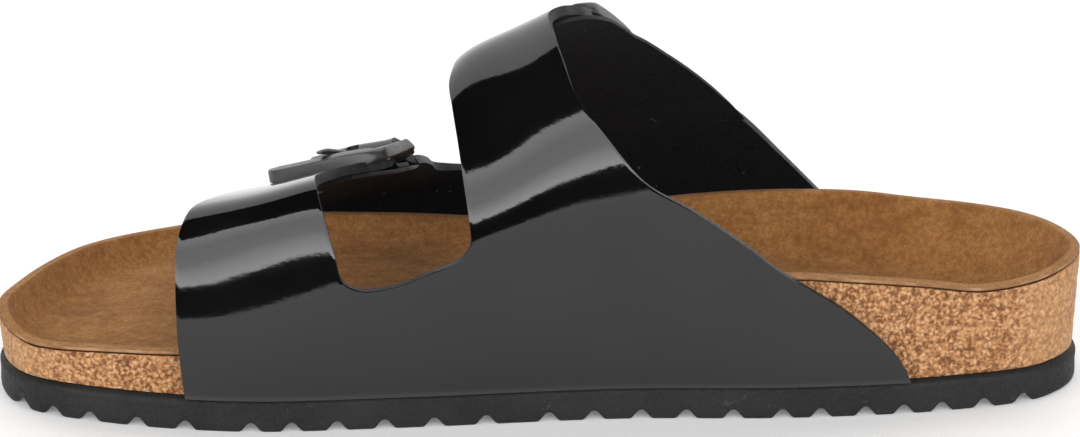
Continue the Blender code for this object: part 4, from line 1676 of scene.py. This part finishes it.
    def tongue(self, seat: BuckleSeat, columns: int) -> tuple[Array, Array, Array, Array]:
        """Rounded end of a long strap, with its holes.

        Args:
            seat: The buckle that it runs through.
            columns: Cells across.

        Returns:
            Points, pattern coordinates, the cells that are cut out and the share of the full thickness.
        """
        body = np.arange(self.end_stops(seat)[0], seat.tongue_tip - self.tip_run, self.end_cell)
        s = np.concatenate([body, seat.tongue_tip - np.array(self.tip_steps)])
        past = np.clip((s - seat.tongue_tip + seat.tip_round) / seat.tip_round, 0.0, 1.0)
        wide = np.array([self.end_widths(seat, each) for each in s])
        wide *= (self.tip_least + (1.0 - self.tip_least) * np.sqrt(1.0 - past * past))[:, None]
        w = across(*wide.T, columns)
        s = np.repeat(s[:, None], columns + 1, axis=1)
        gone = self.slot.cut(s, w)
        for place in self.holes:
            gone |= Punch(place, place, self.hole_r).cut(s, w)
        return seat.point(s, w, seat.tongue_lift(s)), seat.flat(s, w) * MM, gone, seat.tongue_share(s)

    def loop(self, seat: BuckleSeat, columns: int) -> tuple[Array, Array, Array, Array]:
        """End of a short strap, over the hinge bar, round it and back beneath.

        Args:
            seat: The buckle whose bar it holds.
            columns: Cells across.

        Returns:
            Points, pattern coordinates, the cells that are cut out and the share of the full thickness.
        """
        down = np.arange(seat.lap_to, seat.bar_reach, -self.end_cell)
        outer_r = seat.pin_r + seat.gap + seat.loop_t
        turn = np.radians(np.arange(90.0, 271.0, 15.0))
        under = self.under_loop(seat)
        s = np.concatenate([down, seat.bar_reach + outer_r * np.cos(turn), under])
        lift = np.concatenate([seat.loop_height(down), seat.pin_lift + outer_r * np.sin(turn),
                               np.full(len(under), seat.pin_lift - outer_r)])
        thin = np.full(len(s), seat.loop_t / self.last.thick)
        thin[:len(down)] += (1.0 - thin[:len(down)]) * ease((down - seat.bar_reach) / self.loop_thin_run)
        wide = np.array([self.end_widths(seat, each) for each in down] +
                        [(-seat.loop_half, seat.loop_half)] * (len(s) - len(down)))
        w = across(*wide.T, columns)
        s, lift, thin = (np.repeat(each[:, None], columns + 1, axis=1) for each in (s, lift, thin))
        mid_w = (w[:-1, :-1] + w[1:, 1:]) / 2.0
        gone = np.abs(mid_w) < self.prong_gap
        gone[:max(0, len(down) - self.prong_rows)] = False
        gone[len(down) + len(turn):] = False
        return seat.point(s, w, lift), seat.flat(s, w) * MM, gone, thin

    def build(self, name: str, node: str) -> Piece:
        """Model the side as one sheet, give it its wall, and round its edges.

        Args:
            name: Name of the piece.
            node: CAD node that it stands for.

        Returns:
            The piece.
        """
        lines = self.outlines()
        grid = self.to_inner(self.panel_grid(lines))
        blocks = [self.on_wall("panel", grid)]
        for label, seat, columns in (("front", self.front, self.front_columns),
                                     ("rear", self.rear, self.rear_columns)):
            grid = self.to_inner(self.strap_rows(lines[label + "_front"], lines[label + "_rear"], columns))
            meet = self.end_stops(seat)[0]
            low, high = self.end_widths(seat, meet)
            miss = seat.flat(meet, np.linspace(low, high, columns + 1)) - grid[-1]
            grid += ease(np.arange(len(grid)) / (len(grid) - 1.0))[:, None, None] * miss
            blocks.append(self.on_wall(label, grid))
            make_end = self.tongue if self.side is Side.INNER else self.loop
            points, uv, gone, full = make_end(seat, columns)
            marks = {"full": full, "felt": np.zeros(points.shape[:2])}
            if self.side is Side.OUTER:
                turned_back = self.turned_rows + len(self.under_loop(seat))
                marks["felt"][-turned_back:] = 1.0
            blocks.append(self.dress(Workbench.patch(label + "_end", points, uv, gone, marks)))
            if self.side is Side.OUTER:
                blocks.append(self.underlay(seat))
        piece = Workbench.weld(blocks[0], blocks[1:], closed=False)
        piece.name = piece.data.name = name
        self.face_out(piece)
        self.give_wall(piece)
        Workbench.seat(piece, node, Slot.PATENT)
        return piece

    def give_wall(self, piece: Piece) -> None:
        """Turn the sheet into a wall, thinner at its ends, with felt inside and rounded cut edges.

        Args:
            piece: The joined sheet.
        """
        full, felt = np.zeros(len(piece.data.vertices)), np.zeros(len(piece.data.vertices))
        piece.data.attributes["full"].data.foreach_get("value", full)
        piece.data.attributes["felt"].data.foreach_get("value", felt)
        for face in piece.data.polygons:
            face.material_index = int(felt[list(face.vertices)].min())
        wall = piece.vertex_groups.new(name="wall")
        full = np.round(full, 3)
        for value in np.unique(full):
            wall.add(np.flatnonzero(full == value).tolist(), float(value), "REPLACE")
        Workbench.modify(piece, "SOLIDIFY", thickness=self.last.thick * MM, offset=-1.0,
                         vertex_group="wall", thickness_vertex_group=0.0, material_offset=1,
                         material_offset_rim=2)
        Workbench.round_edges(piece, self.edge_round, material=2)

    def underlay(self, seat: BuckleSeat) -> Piece:
        """Felt-backed flap that runs on from a short strap beneath its buckle.

        Args:
            seat: The buckle above it.

        Returns:
            The flap.
        """
        edge = np.array(self.flap_rear if seat is self.rear else self.flap_front)
        s = np.arange(edge[-1, 0], edge[0, 0] - 0.01, -1.0)
        end = np.sqrt(np.clip((s - edge[0, 0]) / self.flap_round, 0.0, 1.0))
        narrow = self.flap_narrow * (1.0 - end)
        widen = self.flap_widen * ease((s - self.widen_from) / self.widen_run)
        high = np.interp(s, edge[:, 0], edge[:, 1]) - narrow
        low = -seat.loop_half - self.flap_margin + narrow - widen
        w = across(low, high, self.flap_cells)
        s = np.repeat(s[:, None], self.flap_cells + 1, axis=1)
        lift = -self.last.thick - self.flap_gap
        full = self.flap_least + (1.0 - self.flap_least) * ease((edge[-1, 0] - s) / self.flap_fade)
        full = full * self.flap_t / self.last.thick
        return self.dress(Workbench.patch("flap", seat.point(s, w, lift), seat.flat(s, w) * MM, None,
                                          {"full": full, "felt": np.zeros(s.shape)}))

    def on_wall(self, name: str, grid: Array) -> Piece:
        """Patch that lies on the wall, from a pattern grid."""
        return self.dress(Workbench.patch(name, self.last.lifted(grid, 0.0), grid * MM, None,
                                          {"full": np.ones(grid.shape[:2])}))

    @staticmethod
    def dress(patch: Piece) -> Piece:
        """Give a patch the upper's three materials.

        Args:
            patch: A new patch.

        Returns:
            The same patch.
        """
        for finish in (PatentFinish(), FeltFinish(), CutEdgeFinish()):
            patch.data.materials.append(finish.material())
        return patch

    def face_out(self, piece: Piece) -> None:
        """Turn the sheet's faces away from the foot.

        Args:
            piece: The joined sheet, which is active.
        """
        bpy.ops.object.mode_set(mode="EDIT")
        bpy.ops.mesh.select_all(action="SELECT")
        bpy.ops.mesh.normals_make_consistent(inside=False)
        bpy.ops.object.mode_set(mode="OBJECT")
        base = min(piece.data.polygons, key=lambda face: face.center.z)
        outward = 1.0 if self.side is Side.OUTER else -1.0
        if base.normal.y * outward < 0.0:
            piece.data.flip_normals()


@dataclass
class Buckle:
    """Black frame with a thin hinge bar, and the prong that turns on it."""

    seat: BuckleSeat
    label: str
    half: float = 13.6
    wide: float = 3.4
    thick: float = 3.2
    lift: float = 2.0
    corner: float = 2.2
    bar_power: float = 0.26
    corner_power: float = 0.55
    arch: float = 0.0
    lean: float = 0.0
    roll: float = 0.0
    prong_wide: float = 2.4
    prong_t: float = 1.2
    prong_past: float = 1.0
    prong_level: float = 0.85
    prong_taper: Triple = (0.95, 0.82, 0.55)
    prong_power: float = 0.5
    prong_sides: int = 12
    sides: int = 32

    def frame_path(self) -> Array:
        """Middle line of the frame: s, w and the outward direction.

        Returns:
            A row of s, w and both parts of the direction for each point.
        """
        reach = self.seat.bar_reach
        turns = []
        for cs, cw, begin in ((-1, -1, 270), (-1, 1, 180), (1, 1, 90), (1, -1, 360)):
            angle = np.radians(begin - np.linspace(0.0, 90.0, 9))
            c, q = np.cos(angle), np.sin(angle)
            turns.append(np.column_stack([cs * (reach - self.corner) + self.corner * c,
                                          cw * (self.half - self.corner) + self.corner * q, c, q]))
        path = []
        for k, turn in enumerate(turns):
            path.append(turn)
            there = turns[(k + 1) % 4][0]
            share = np.linspace(0.0, 1.0, 14)[1:-1, None]
            path.append(turn[-1] * (1.0 - share) + there * share)
        return np.vstack(path)

    def build_frame(self) -> Piece:
        """Sweep the frame: flat bars, and a round bar at the hinge.

        Returns:
            The piece.
        """
        path = self.frame_path()
        s, w, ns, nw = (column[:, None] for column in path.T)
        hinge = ease((s - self.seat.bar_reach + self.corner) / self.corner)
        turn = -np.linspace(0.0, math.tau, self.sides, endpoint=False)[None]
        bend = (-2.0 * ns * nw).clip(0.0)
        power = self.bar_power + (1.0 - self.bar_power) * hinge + self.corner_power * bend
        out, up = squared(turn, power)
        out = out * (self.wide / 2.0 + (self.seat.pin_r - self.wide / 2.0) * hinge)
        up = up * (self.thick / 2.0 + (self.seat.pin_r - self.thick / 2.0) * hinge)
        lift = self.lift + (self.seat.pin_lift - self.lift) * hinge
        lift = lift + self.arch * (1.0 - (s / self.seat.bar_reach) ** 2).clip(0.0)
        lift = lift - self.lean * out * (-ns).clip(0.0) - self.roll * w * (1.0 - hinge)
        rings = self.seat.point(s + ns * out, w + nw * out, lift + up)
        piece = Workbench.tube(f"buckle_{self.label}", rings, True)
        return self.dress(piece, f"buckle_frame_{self.label}")

    def build_prong(self) -> Piece:
        """Sweep the prong from its curl round the hinge bar to its tip over the near bar.

        Returns:
            The piece.
        """
        seat = self.seat
        middle_r = seat.pin_r + seat.gap + self.prong_t / 2.0
        angle = np.radians(np.arange(-120.0, 91.0, 15.0))
        c, q = np.cos(angle), np.sin(angle)
        curl = np.column_stack([seat.bar_reach + middle_r * c, seat.pin_lift + middle_r * q, c, q])
        share = np.linspace(0.08, 1.0, 14)
        high = self.lift + self.thick / 2.0 + seat.gap + self.prong_t / 2.0 + 2.0 * self.lean
        low = seat.pin_lift + middle_r
        straight = np.column_stack([seat.bar_reach - (2.0 * seat.bar_reach + self.prong_past) * share,
                                    low + (high - low) * np.minimum(1.0, share / self.prong_level),
                                    np.zeros(len(share)), np.ones(len(share))])
        path = np.vstack([curl, straight])
        s, lift, c, q = (column[:, None] for column in path.T)
        taper = np.ones((len(path), 1))
        taper[-3:, 0] = self.prong_taper
        turn = np.linspace(0.0, math.tau, self.prong_sides, endpoint=False)[None] + math.pi / self.prong_sides
        wide, up = squared(turn, self.prong_power)
        wide = wide * self.prong_wide / 2.0 * taper
        up = up * self.prong_t / 2.0 * taper
        piece = Workbench.tube(f"prong_{self.label}", seat.point(s + c * up, wide, lift + q * up), False)
        return self.dress(piece, f"buckle_prong_{self.label}")

    def dress(self, piece: Piece, node: str) -> Piece:
        """Paint a metal piece and seat it.

        Args:
            piece: The bare piece.
            node: CAD node that it stands for.

        Returns:
            The same piece.
        """
        piece.data.materials.append(BlackMetalFinish().material())
        Workbench.seat(piece, node, Slot.METAL)
        return piece


@dataclass(frozen=True)
class GlowFinish(Finish):
    """Soft light of a studio panel, by height in bands."""

    name: str = "panel_glow"
    stops: Table = ((0.0, 1.0), (1.0, 1.0))
    low: float = 0.0
    high: float = 1.0

    def fill(self, board: NodeBoard, shader: bpy.types.Node) -> None:
        """Wire the finish into its shader.

        Args:
            board: The material's board.
            shader: Its Principled BSDF.
        """
        board.tree.nodes.remove(shader)
        height = board.add("SeparateXYZ", Vector=board.place()).outputs["Z"]
        share = board.add("MapRange", Value=height, From_Min=self.low, From_Max=self.high).outputs[0]
        curve = board.add("FloatCurve", Value=share)
        line = curve.mapping.curves[0]
        peak = max(value for _, value in self.stops)
        for _ in range(len(self.stops) - 2):
            line.points.new(0.5, 0.5)
        for point, (at, value) in zip(line.points, self.stops):
            point.location = (at, value / peak)
            point.handle_type = "VECTOR"
        curve.mapping.update()
        glow = board.add("Emission", Strength=board.math("MULTIPLY", curve.outputs[0], peak))
        board.feed(board.tree.nodes["Material Output"].inputs["Surface"], glow.outputs[0])


@dataclass(frozen=True)
class FloorFinish(Finish):
    """Pale paper with a faint change of tone."""

    name: str = "pale_floor"
    colour: Triple = (0.93, 0.93, 0.93)
    pale: Triple = (0.95, 0.95, 0.95)
    white: Triple = (1.0, 1.0, 1.0)

    def fill(self, board: NodeBoard, shader: bpy.types.Node) -> None:
        """Wire the finish into its shader.

        Args:
            board: The material's board.
            shader: Its Principled BSDF.
        """
        tone = board.noise(board.place(), 2.0)
        board.wire(shader, Base_Color=board.blend(tone, self.colour, self.pale), Roughness=0.9, IOR=1.2,
                   Emission_Color=self.white, Emission_Strength=0.13)


@dataclass
class Studio:
    """White floor, a front panel, a back canopy and the camera."""

    azimuth: float = 2.5
    elevation: float = 20.5
    distance: float = 1100.0
    target: Triple = (-0.28, 1.45, 40.0)
    frame_drop: float = 4.4
    lens: float = 153.4
    sensor: float = 36.0
    floor_half: float = 9000.0
    panel_radius: float = 2600.0
    panel_low: float = 13.0
    panel_high: float = 41.8
    panel_spread: float = 72.0
    panel_stops: Table = ((0.0, 5.6), (0.12, 4.4), (0.3, 2.7), (0.6, 2.5), (1.0, 3.6))
    canopy_radius: float = 2600.0
    canopy_from: float = 99.0
    canopy_to: float = 179.5
    canopy_half: float = 3200.0
    canopy_glow: float = 1.5
    world_glow: float = 0.02

    def axes(self) -> tuple[Array, Array, Array]:
        """Directions to the right, up and back of the camera.

        Returns:
            Three unit vectors.
        """
        a, e = math.radians(self.azimuth), math.radians(self.elevation)
        back = np.array([math.sin(a) * math.cos(e), -math.cos(a) * math.cos(e), math.sin(e)])
        right = np.array([math.cos(a), math.sin(a), 0.0])
        return right, np.cross(back, right), back

    def build_camera(self) -> Piece:
        """Camera at the photo's angle, aimed a little under the middle of the sandal.

        Returns:
            The camera.
        """
        right, up, back = self.axes()
        place = (np.array(self.target) + back * self.distance - up * self.frame_drop) * MM
        bpy.ops.object.camera_add()
        camera = bpy.context.object
        camera.name = "camera"
        turn = Matrix((right, up, back)).transposed().to_4x4()
        camera.matrix_world = Matrix.Translation(Vector(place)) @ turn
        camera.data.lens = self.lens
        camera.data.sensor_width = self.sensor
        camera.data.sensor_fit = "HORIZONTAL"
        camera.data.clip_end = 50.0
        bpy.context.scene.camera = camera
        return camera

    def build_floor(self) -> Piece:
        """Plain pale floor.

        Returns:
            The floor.
        """
        half = self.floor_half
        x, y = np.meshgrid(np.linspace(-half, half, 3), np.linspace(-half, half, 3))
        points = np.stack([x, y, np.zeros_like(x)], axis=2)
        floor = Workbench.patch("floor", points, points[:, :, :2] * MM)
        floor.data.materials.append(FloorFinish().material())
        return floor

    def sheet_light(self, name: str, points: Array, finish: GlowFinish) -> Piece:
        """Curved sheet that glows and isn't seen by the camera.

        Args:
            name: Name of the sheet.
            points: Rows and columns of points.
            finish: Its glow.

        Returns:
            The sheet.
        """
        sheet = Workbench.patch(name, points, points[:, :, :2] * MM)
        sheet.data.materials.append(finish.material())
        sheet.visible_camera = False
        return sheet

    def build_lights(self) -> None:
        """Front panel on the camera's side, and a canopy from overhead to the back."""
        turn = np.radians(np.linspace(-self.panel_spread, self.panel_spread, 25))[None]
        low, high = (self.panel_radius * math.tan(math.radians(e)) for e in (self.panel_low, self.panel_high))
        panel = np.broadcast_arrays(self.panel_radius * np.sin(turn), -self.panel_radius * np.cos(turn),
                                    np.linspace(low, high, 5)[:, None])
        self.sheet_light("front_panel", np.stack(panel, axis=2),
                         GlowFinish("panel_glow", self.panel_stops, low * MM, high * MM))
        sweep = np.radians(np.linspace(self.canopy_from, self.canopy_to, 17))[:, None]
        canopy = np.broadcast_arrays(np.linspace(-self.canopy_half, self.canopy_half, 9)[None],
                                     -self.canopy_radius * np.cos(sweep), self.canopy_radius * np.sin(sweep))
        glow = ((0.0, self.canopy_glow), (1.0, self.canopy_glow))
        self.sheet_light("canopy", np.stack(canopy, axis=2),
                         GlowFinish("canopy_glow", glow, 0.0, self.canopy_radius * MM))
        world = bpy.data.worlds.new("studio_dark")
        world.use_nodes = True
        shader = world.node_tree.nodes["Background"]
        shader.inputs["Color"].default_value = (1.0, 1.0, 1.0, 1.0)
        shader.inputs["Strength"].default_value = self.world_glow
        bpy.context.scene.world = world
        bpy.context.scene.view_settings.view_transform = "Standard"

    def build(self) -> None:
        """Set up floor, lights and camera."""
        self.build_floor()
        self.build_lights()
        self.build_camera()
        LOG.info("studio ready")


def main() -> None:
    """Build the sandal piece by piece and set it in the studio."""
    logging.basicConfig(level=logging.INFO, format="%(name)s: %(message)s")
    foot = Footprint()
    last = Last(foot)
    front = BuckleSeat(last, x=-48.0, girth=104.0, turn=20.0)
    rear = BuckleSeat(last, x=4.5, girth=133.0, turn=30.0, shoulder=3.5, tongue_t=1.2)
    bed = Footbed(foot)
    Outsole(foot).build()
    CorkBlock(bed).build()
    SuedeLining(bed).build()
    UpperSide(last, Side.INNER, INNER_PATTERN, front, rear).build("patent_upper_inner", "upper_medial")
    UpperSide(last, Side.OUTER, OUTER_PATTERN, front, rear).build("patent_upper_outer", "upper_lateral")
    for buckle in (Buckle(front, "front", half=14.3, lift=1.6, arch=0.5, lean=0.3, roll=0.03),
                   Buckle(rear, "rear", lift=1.3)):
        buckle.build_frame()
        buckle.build_prong()
    Studio().build()
    bpy.ops.object.select_all(action="DESELECT")


if __name__ == "__main__":
    main()
